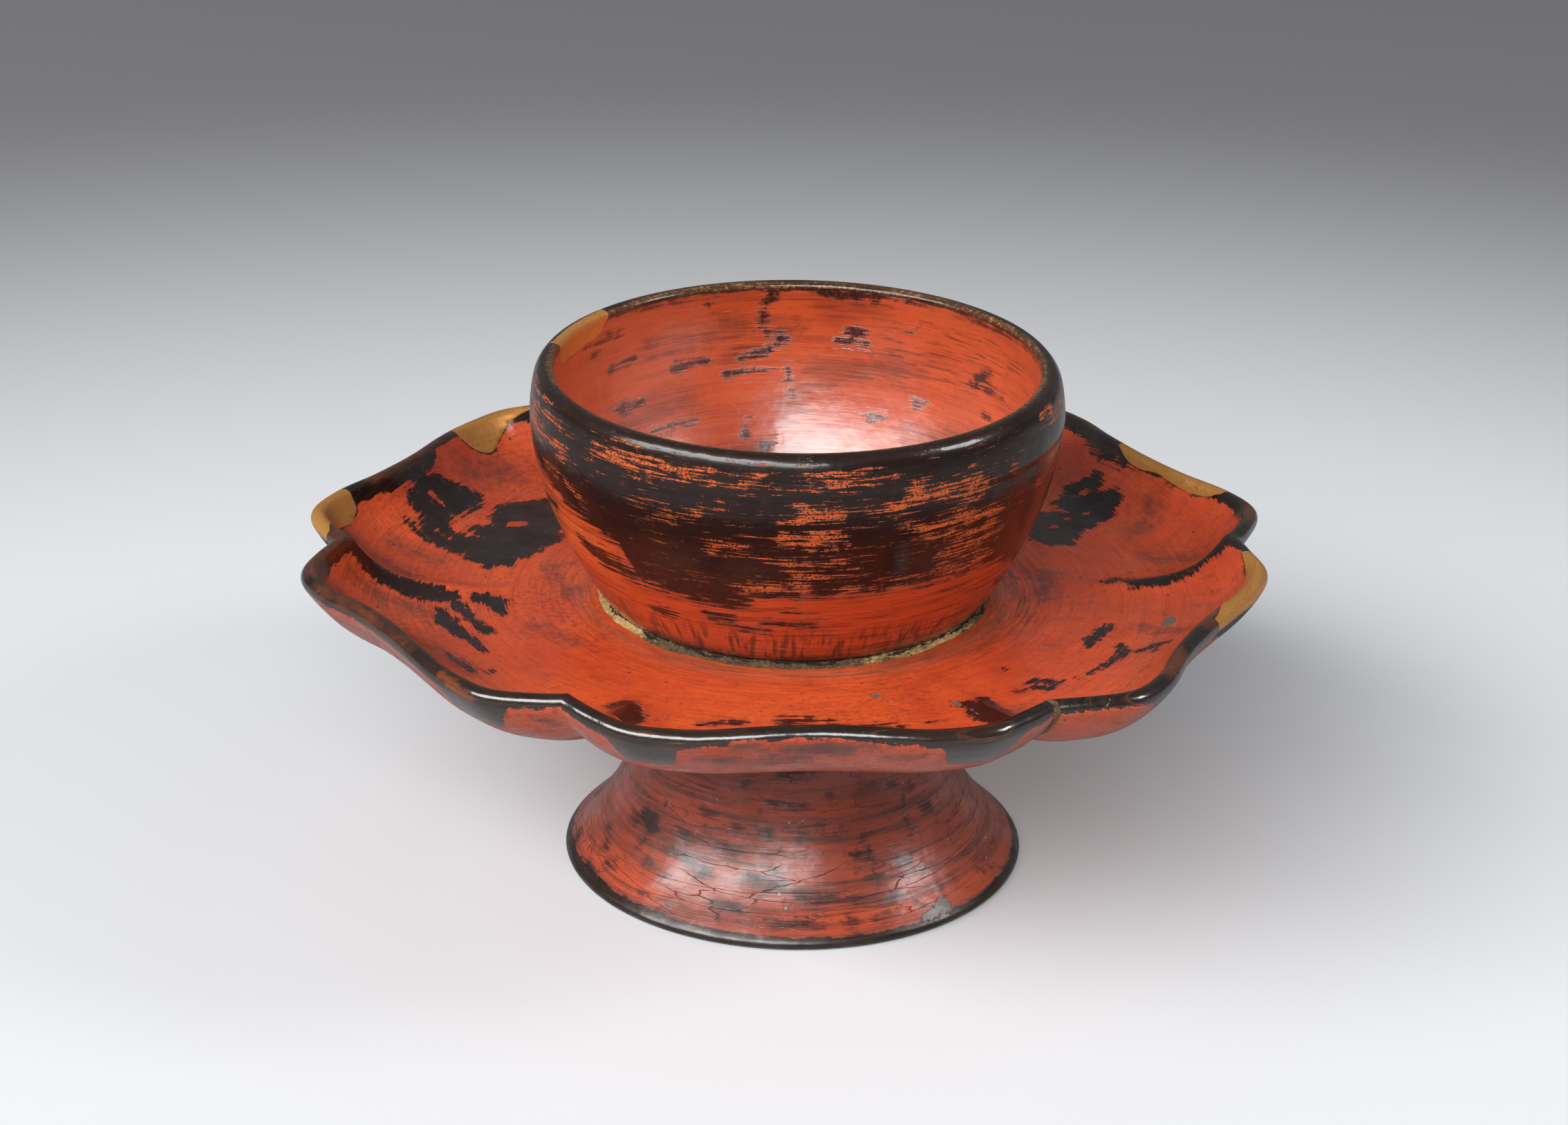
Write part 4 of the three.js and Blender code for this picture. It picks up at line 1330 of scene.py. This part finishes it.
cup_rubbed_strokes = [
    [(-172, 88.6, 0.6), (-162, 87.6, 0.9), (-150, 86.4, 0.8)],
    [(-136, 85.4, 0.9), (-128, 85.2, 1.3), (-118, 85.6, 1.1), (-109, 86, 0.8)],
    [(-131, 88.2, 0.4), (-124, 88, 0.3)],
    [(-168, 84, 1.8), (-158, 83, 1.0), (-152, 82.8, 0.8)],
    [(-150, 82.2, 1.3), (-147, 82, 1.2)],
    [(-100, 85.6, 0.35), (-84, 85.6, 0.4), (-70, 85.6, 0.2)],
    [(-158, 78.2, 0.5), (-148, 77.8, 0.6), (-142, 76, 0.4)],
    [(-119, 77.8, 0.4), (-112, 79, 1.0), (-104, 80.2, 0.8)],
    [(-93, 79.6, 0.8), (-88, 80.4, 1.6), (-81, 80.2, 1.0)],
    [(-92, 76.2, 0.7), (-86, 76.4, 1.4), (-80, 76, 1.0)],
    [(-108, 73.6, 0.7), (-102, 74.4, 0.7)],
    [(-77, 80.6, 0.2), (-68, 80.6, 0.35)],
    [(-65, 82.4, 1.2), (-58, 82.2, 1.4), (-48, 81.8, 1.2)],
    [(-68, 76.6, 0.7), (-58, 76.6, 0.9), (-41, 76, 0.8)],
    [(-60, 74, 0.8), (-52, 73.2, 1.1), (-42, 73.8, 0.6)],
    [(-58, 70.8, 0.5), (-44, 71.2, 0.9), (-40, 70.8, 0.5)],
    [(-96, 71.2, 0.3), (-86, 71.4, 0.5), (-80, 71.6, 0.3)],
    [(-101, 66.4, 0.5), (-95, 66.8, 0.9), (-87, 67.2, 0.8)],
    [(-90, 69, 0.3), (-74, 68.8, 0.3)],
    [(-88, 74.6, 0.3), (-82, 74.8, 0.5)],
    [(-57, 68.6, 0.3), (-40, 68.4, 0.5)],
    [(-80, 66.4, 0.3), (-60, 66.6, 0.4), (-44, 66.2, 0.3)],
    [(-26, 86.9, 0.3), (-16, 86.6, 0.35), (-8, 86.6, 0.2)],
    [(-38.5, 82, 0.35)],
    [(-30, 77, 0.4), (-26, 77, 0.3)],
    [(-19, 79.6, 0.4), (-12, 79.8, 0.5)],
    [(20, 84, 0.6), (38, 83, 0.9)],
    [(60, 78, 1.2), (74, 79, 0.8)],
    [(95, 84, 0.8), (118, 84.6, 1.0)],
    [(130, 75, 1.4), (146, 76, 1.0)],
]
cup_inside_strokes = [
    [(96, 88.4, 1.2), (98, 85.6, 0.6), (99, 82.6, 0.5), (97.4, 80, 0.6)],
    [(92, 79.2, 0.4), (95, 79, 0.9), (98, 76.6, 0.6), (104, 75.6, 0.4)],
    [(97, 73.6, 0.3), (101, 73.4, 0.7), (108, 73.3, 0.5)],
    [(113, 76, 0.3), (122, 75.4, 0.6)],
    [(133, 71, 0.4), (138, 71.2, 0.8), (143, 70.8, 0.5)],
    [(70, 88.2, 0.8), (77, 87.9, 1.1), (84, 88.3, 0.6)],
    [(56, 84.2, 0.3), (63, 83.2, 0.5)],
    [(74, 81.2, 0.9), (77, 80.8, 0.9)],
    [(73, 78.6, 0.4), (79, 78.8, 0.4)],
    [(92.5, 74, 0.35), (92, 71, 0.5), (91, 69.8, 0.7)],
    [(103, 65.2, 0.6), (104, 63, 0.9)],
    [(96, 61.6, 0.4), (99, 60.6, 0.9)],
    [(67, 66.8, 0.5), (70, 66.6, 0.6)],
    [(55, 70.2, 0.3), (58, 70, 0.5)],
    [(36, 79.4, 0.5), (40, 77.6, 0.9)],
    [(30, 76.4, 0.2), (42, 76.2, 0.4)],
    [(34, 72.2, 0.3), (36, 72, 0.4)],
    [(118, 66, 0.3), (131, 66.2, 0.4)],
    [(110, 87.8, 0.6), (113, 86.2, 0.6)],
    [(134, 79, 0.3), (142, 78.4, 0.4)],
    [(138, 84.6, 0.2), (152, 84.4, 0.3)],
    [(146, 82.8, 0.3), (149, 82.6, 0.4)],
    [(160, 76, 0.7), (168, 75.4, 0.5)],
    [(-160, 80, 0.8), (-140, 79, 0.5)],
    [(-100, 84, 1.2), (-88, 83, 0.8)],
    [(-60, 74, 1.0), (-46, 73, 0.6)],
    [(-20, 82, 0.6), (-4, 81, 0.8)],
]


# Where the black on the cup is painted maroon, a painted reflection of the red flange, where its low red is
# brightest, and where fine dark streaks and soft smudges lie on its inside
cup_painted_reflection_strokes = [[(-52, 71, 2.5), (-30, 73, 6.5), (-4, 73, 6.5)]]
cup_bright_strokes = [[(-180, 70, 8), (-160, 68, 6), (-138, 65, 3.5)]]
cup_streaked_strokes = [[(18, 80, 5), (40, 80, 7.5), (62, 78, 6)]]
cup_smudge_strokes = [
    [(60, 76, 2.0), (84, 73, 3.0), (92, 66, 2.5)],
    [(68, 85.5, 1.4), (84, 85, 1.6)],
    [(90, 82, 1.6), (106, 76, 2.2)],
    [(104, 81, 2.0), (128, 80, 2.5)],
    [(118, 70, 2.0), (140, 68, 3.0)],
    [(88, 60, 2.0), (120, 59, 2.5)],
    [(30, 66, 3.0), (58, 64, 3.0)],
    [(-150, 70, 4), (-110, 72, 4)],
]


def mark_cup_wear(piece):
    places = points_of(piece)
    angle = np.degrees(np.arctan2(places[:, 1], places[:, 0]))
    rise = places[:, 2] / MM
    distance = np.hypot(places[:, 0], places[:, 1])
    wall_middle = cup_radius_at(places[:, 2]) - cup_wall / 2
    outside = distance > wall_middle
    on_lip = rise > cup_lip / MM - 0.9
    limit = np.interp(angle, *zip(*cup_red_limit))
    dark = round_field(angle, rise, cup_dark_strokes, 42)
    rubbed = round_field(angle, rise, cup_rubbed_strokes, 44)
    store(piece, "low_red", np.where(outside & ~on_lip, np.minimum(limit - rise, -dark), unworn_mm))
    store(piece, "rubbed", np.where(outside, np.maximum(rubbed, -2.6), unworn_mm))
    # The painted reflection of the red flange on the front right of the black belly
    painted_flange_reflection = round_field(angle, rise, cup_painted_reflection_strokes, 44)
    bright = round_field(angle, rise, cup_bright_strokes, 40)
    store(piece, "painted_flange_reflection", np.where(outside, painted_flange_reflection, unworn_mm))
    store(piece, "bright", np.where(outside, bright, unworn_mm))
    store(piece, "inside", np.where(outside | on_lip, -3.0, 3.0))
    drips = round_field(angle, rise, cup_inside_strokes, 40)
    under_lip = rise - (cup_lip / MM - 1.6) + 0.3 * np.sin(np.radians(angle * 3))
    store(piece, "drips", np.where(outside, unworn_mm, np.maximum(drips, under_lip)))
    store(piece, "streaked", round_field(angle, rise, cup_streaked_strokes, 40))
    store(piece, "smudge", round_field(angle, rise, cup_smudge_strokes, 40))
    store(piece, "across", (distance - wall_middle) / MM)
    store(piece, "rise", rise)
    keep_grain(piece, 1.0)
    step = np.clip((rise - 81.0) / 0.8, 0, 1) * np.clip(1 - np.abs(angle + 22) / 34, 0, 1) * 2
    pushed = 1 + 0.3 * MM * np.clip(step, 0, 1) * outside / distance
    places[:, 0] *= pushed
    places[:, 1] *= pushed
    move_points(piece, places)


mark_cup_wear(cup)


def make_outer_lacquer():
    """Black lacquer over red, rubbed through in streaks, that gives way to red low down."""
    finish, tree, shader = new_finish("cup_outer_lacquer", 0.3, coat=0.7, coat_roughness=0.11)
    shader.inputs["Specular IOR Level"].default_value = 0.25
    at = grain_places(tree)
    place, grain = at["Place"], at["Grain"]
    skin = use_group(tree, lacquer_skin, **at)
    low = ragged_mask(tree, at, "low_red", 0.5, 0.8, 3.0)
    rub = ragged_mask(tree, at, "rubbed", 1.1, 1.6, 2.2)
    # The mask of the painted reflection of the red flange on the black belly
    painted_flange_reflection = ragged_mask(tree, at, "painted_flange_reflection", 1.0, 1.2, 5.0)
    bright = ragged_mask(tree, at, "bright", 1.0, 1.2, 5.0)
    lines = noise(tree, grain, 3000, 4, 0.75, 0.2)
    sparse = noise(tree, place, 110, 3, 0.6)
    lines = calculate(tree, "MULTIPLY_ADD", sparse, 0.2, calculate(tree, "SUBTRACT", lines, 0.1))
    pores = stretch(tree, noise(tree, place, 2600, 3, 0.65), 0.4, 0.47)
    rub = stretch(tree, calculate(tree, "MULTIPLY_ADD", rub, 0.2, lines), 0.62, 0.66)
    rub = product(tree, rub, pores)
    brush_marks = noise(tree, grain, 1500, 5, 0.78)
    low = stretch(tree, calculate(tree, "MULTIPLY_ADD", low, 0.36, brush_marks), 0.66, 0.72)

    black = blend_colours(tree, skin["Streaks"], (0.008, 0.0045, 0.004), (0.024, 0.009, 0.006))
    # Painted reflection: the red flange's reflection in the black belly is painted in as a wine colour
    reflected_wine = blend_colours(tree, skin["Streaks"], (0.014, 0.006, 0.005), (0.05, 0.012, 0.008))
    black = lay_over(tree, black, painted_flange_reflection, 0.8, reflected_wine)
    orange = blend_colours(tree, skin["Streaks"], (0.5, 0.075, 0.015), (0.76, 0.16, 0.03))
    low_red = blend_colours(tree, skin["Streaks"], (0.4, 0.045, 0.012), (0.66, 0.095, 0.022))
    bright_red = blend_colours(tree, skin["Streaks"], (0.58, 0.075, 0.018), (0.9, 0.18, 0.038))
    low_red = blend_colours(tree, bright, low_red, bright_red)
    low_dark = stretch(tree, noise(tree, grain, 900, 5, 0.78), 0.51, 0.63)
    low_red = lay_over(tree, low_red, low_dark, 0.75, (0.04, 0.014, 0.01))
    outwards = vector_math(tree, "NORMALIZE", vector_math(tree, "MULTIPLY", place, (1, 1, 0)))
    on_ring = vector_math(tree, "MULTIPLY", outwards, (cup_joint_radius, cup_joint_radius, 0))
    drawn_up = vector_math(tree, "MULTIPLY_ADD", place, (0, 0, 0.14), on_ring)
    rise = stored(tree, "rise")
    tick_band = product(tree, stretch(tree, rise, 50, 51), stretch(tree, rise, 58.5, 54.5))
    ticks = stretch(tree, noise(tree, drawn_up, 1100, 3, 0.6), 0.5, 0.6)
    ticks = product(tree, ticks, product(tree, tick_band, 0.8))
    low_red = blend_colours(tree, ticks, low_red, (0.06, 0.016, 0.01))
    foot_soil = stretch(tree, rise, 53.5, 50)
    soiled = product(tree, foot_soil, stretch(tree, skin["Streaks"], 0.1, 0.7))
    low_red = blend_colours(tree, soiled, low_red, (0.03, 0.015, 0.01))
    colour = blend_colours(tree, low, black, low_red)
    colour = blend_colours(tree, rub, colour, orange)

    on_crest = stretch(tree, rise, cup_lip / MM - 1.3, cup_lip / MM - 0.8)
    dark_lip = blend_colours(tree, skin["Streaks"], (0.012, 0.006, 0.005), (0.035, 0.014, 0.008))
    colour = blend_colours(tree, on_crest, colour, dark_lip)
    off_line = calculate(tree, "ABSOLUTE", calculate(tree, "ADD", stored(tree, "across"), 0.95))
    worn_line = stretch(tree, noise(tree, grain, 1300, 5, 0.75, 0.5), 0.4, 0.54)
    line = product(tree, stretch(tree, off_line, 1.1, 0.4), worn_line)
    line = product(tree, line, product(tree, on_crest, 0.9))
    tan = stretch(tree, noise(tree, place, 1400, 5, 0.75), 0.5, 0.62)
    brown = blend_colours(tree, tan, (0.12, 0.045, 0.015), (0.42, 0.23, 0.1))
    colour = blend_colours(tree, line, colour, brown)
    colour = lay_over(tree, colour, skin["Pits"], 0.35, (0.12, 0.06, 0.045))
    tree.links.new(colour, shader.inputs["Base Color"])
    rough = calculate(tree, "MULTIPLY_ADD", skin["Streaks"], 0.12, 0.26)
    rough = calculate(tree, "MULTIPLY_ADD", rub, 0.2, rough)
    tree.links.new(rough, shader.inputs["Roughness"])
    handled = stretch(tree, noise(tree, place, 240, 5, 0.7), 0.38, 0.6)
    gloss = calculate(tree, "MULTIPLY_ADD", handled, 0.3, 0.4)
    gloss = calculate(tree, "MULTIPLY_ADD", on_crest, 0.3, gloss)
    tree.links.new(gloss, shader.inputs["Coat Weight"])
    height = calculate(tree, "MULTIPLY_ADD", rub, -0.04, skin["Height"])
    height = calculate(tree, "MULTIPLY_ADD", low, -0.03, height)
    raise_surface(tree, shader, height)
    return finish


def make_inner_lacquer():
    """Red lacquer with a soft shine, marked by dark spills and streaks round it."""
    finish, tree, shader = new_finish("cup_inner_lacquer", 0.3, coat=0.85, coat_roughness=0.22)
    shader.inputs["Specular IOR Level"].default_value = 0.9
    shader.inputs["Coat IOR"].default_value = 1.75
    at = grain_places(tree)
    place, grain = at["Place"], at["Grain"]
    skin = use_group(tree, lacquer_skin, **at)
    drips = ragged_mask(tree, at, "drips", 0.75, 0.9, 0.9)
    smudge = ragged_mask(tree, at, "smudge", 1.2, 1.6, 3.0)
    streaked = ragged_mask(tree, at, "streaked", 1.0, 1.0, 4.0)
    red = blend_colours(tree, skin["Mottle"], (0.44, 0.05, 0.016), (0.64, 0.09, 0.026))
    red = lay_over(tree, red, skin["Streaks"], 0.5, (0.72, 0.14, 0.034))
    soil = stretch(tree, noise(tree, grain, 600, 6, 0.78, 0.5), 0.52, 0.72)
    red = lay_over(tree, red, soil, 0.7, (0.2, 0.034, 0.018))
    cloudy = product(tree, smudge, stretch(tree, noise(tree, grain, 1000, 5, 0.75), 0.38, 0.6))
    red = lay_over(tree, red, cloudy, 0.75, (0.09, 0.026, 0.018))
    thin_lines = stretch(tree, noise(tree, grain, 2600, 4, 0.65), 0.54, 0.6)
    thin_lines = product(tree, thin_lines, product(tree, streaked, 0.75))
    red = blend_colours(tree, thin_lines, red, (0.1, 0.026, 0.016))
    red = lay_over(tree, red, skin["Specks"], 0.5, (0.12, 0.024, 0.014))
    broken = stretch(tree, noise(tree, place, 1500, 4, 0.7), 0.34, 0.5)
    drips = product(tree, drips, calculate(tree, "MULTIPLY_ADD", broken, 0.35, 0.62))
    colour = blend_colours(tree, drips, red, (0.016, 0.01, 0.009))
    tree.links.new(colour, shader.inputs["Base Color"])
    rough = calculate(tree, "MULTIPLY_ADD", skin["Streaks"], 0.1, 0.26)
    tree.links.new(rough, shader.inputs["Roughness"])
    raise_surface(tree, shader, calculate(tree, "MULTIPLY_ADD", drips, 0.04, skin["Height"]))
    return finish


smooth_rounds(cup)
give_finishes(cup, make_outer_lacquer(), make_inner_lacquer())
cup_lies_inside = cup.data.attributes["inside"].data
for face in cup.data.polygons:
    face.material_index = int(all(cup_lies_inside[corner].value > 0 for corner in face.vertices))
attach(cup, "root")
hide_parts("cup")

# A chip in the inner edge of the lip is filled and gilded like the rim, flush with the wall of the cup.
store(lip_fill, "from_turn", np.zeros(len(lip_fill.data.vertices)))
keep_grain(lip_fill, 1.0)
smooth_rounds(lip_fill)
give_finishes(lip_fill, rim_gold)
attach(lip_fill, "root")
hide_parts("gold_fill_cup_lip")

# Studio: a pale floor, one broad lamp from the upper left and front, a smaller one from the right, and the
# camera at the picture's angle.
picture_width = 2268
focal_pixels = 5685.4
camera_distance = 615.7 * MM
camera_height = 315.1 * MM
camera_tilt = math.radians(90 - 23.02)
camera_roll = math.radians(0.76)
camera_pan = math.radians(0.165)

camera = bpy.data.objects.new("camera", bpy.data.cameras.new("camera"))
bpy.context.scene.collection.objects.link(camera)
camera.data.sensor_width = 36.0
camera.data.lens = 36.0 * focal_pixels / picture_width
camera.data.clip_start = 0.05
camera.matrix_world = (
    Matrix.Translation((0, -camera_distance, camera_height))
    @ Matrix.Rotation(camera_pan, 4, "Z")
    @ Matrix.Rotation(camera_tilt, 4, "X")
    @ Matrix.Rotation(camera_roll, 4, "Z")
)
bpy.context.scene.camera = camera


def add_lamp(name, azimuth, elevation, distance, width, height, power):
    """A rectangular lamp that looks at the stand from the given direction, in degrees."""
    across, up = math.radians(azimuth), math.radians(elevation)
    away = Vector((math.cos(across) * math.cos(up), math.sin(across) * math.cos(up), math.sin(up)))
    lamp = bpy.data.objects.new(name, bpy.data.lights.new(name, "AREA"))
    lamp.data.shape = "RECTANGLE"
    lamp.data.size = width
    lamp.data.size_y = height
    lamp.data.energy = power
    bpy.context.scene.collection.objects.link(lamp)
    lamp.location = Vector((0, 0, 0.06)) + away * distance
    lamp.rotation_euler = (-away).to_track_quat("-Z", "Y").to_euler()
    return lamp


add_lamp("lamp_left", -125, 38, 2.0, 3.2, 0.84, 69.0)
add_lamp("lamp_right", -12, 33, 0.95, 0.26, 0.26, 2.2)

deselect_all()
bpy.ops.mesh.primitive_plane_add(size=6.0, location=(0, 0, 0))
floor = bpy.context.object
floor.name = "floor"
floor_finish, floor_tree, floor_shader = new_finish("floor_paper", 0.9)
floor_shader.inputs["Specular IOR Level"].default_value = 0.1
# Painted shade: the floor's colour goes from pale at the front to dark grey at the back, standing in for
# light falling off
from_front = {0: object_place(floor_tree), 1: (0, -0.12, 0)}
floor_distance = add_node(floor_tree, "ShaderNodeVectorMath", from_front, operation="DISTANCE")
fall = {"Value": floor_distance.outputs["Value"], "From Min": 0.24, "From Max": 0.62}
painted_falloff = add_node(floor_tree, "ShaderNodeMapRange", fall, interpolation_type="SMOOTHSTEP").outputs[0]
paper = blend_colours(floor_tree, painted_falloff, (0.835, 0.855, 0.875), (0.25, 0.25, 0.26))
seen = add_node(floor_tree, "ShaderNodeLightPath").outputs["Is Camera Ray"]
floor_colour = blend_colours(floor_tree, seen, (0.36, 0.36, 0.37), paper)
floor_tree.links.new(floor_colour, floor_shader.inputs["Base Color"])
give_finishes(floor, floor_finish)

world = bpy.data.worlds.new("studio")
bpy.context.scene.world = world
world.use_nodes = True
world.node_tree.nodes["Background"].inputs["Color"].default_value = (0.93, 0.95, 1.0, 1)
world.node_tree.nodes["Background"].inputs["Strength"].default_value = 0.12

bpy.context.scene.view_settings.view_transform = "Standard"
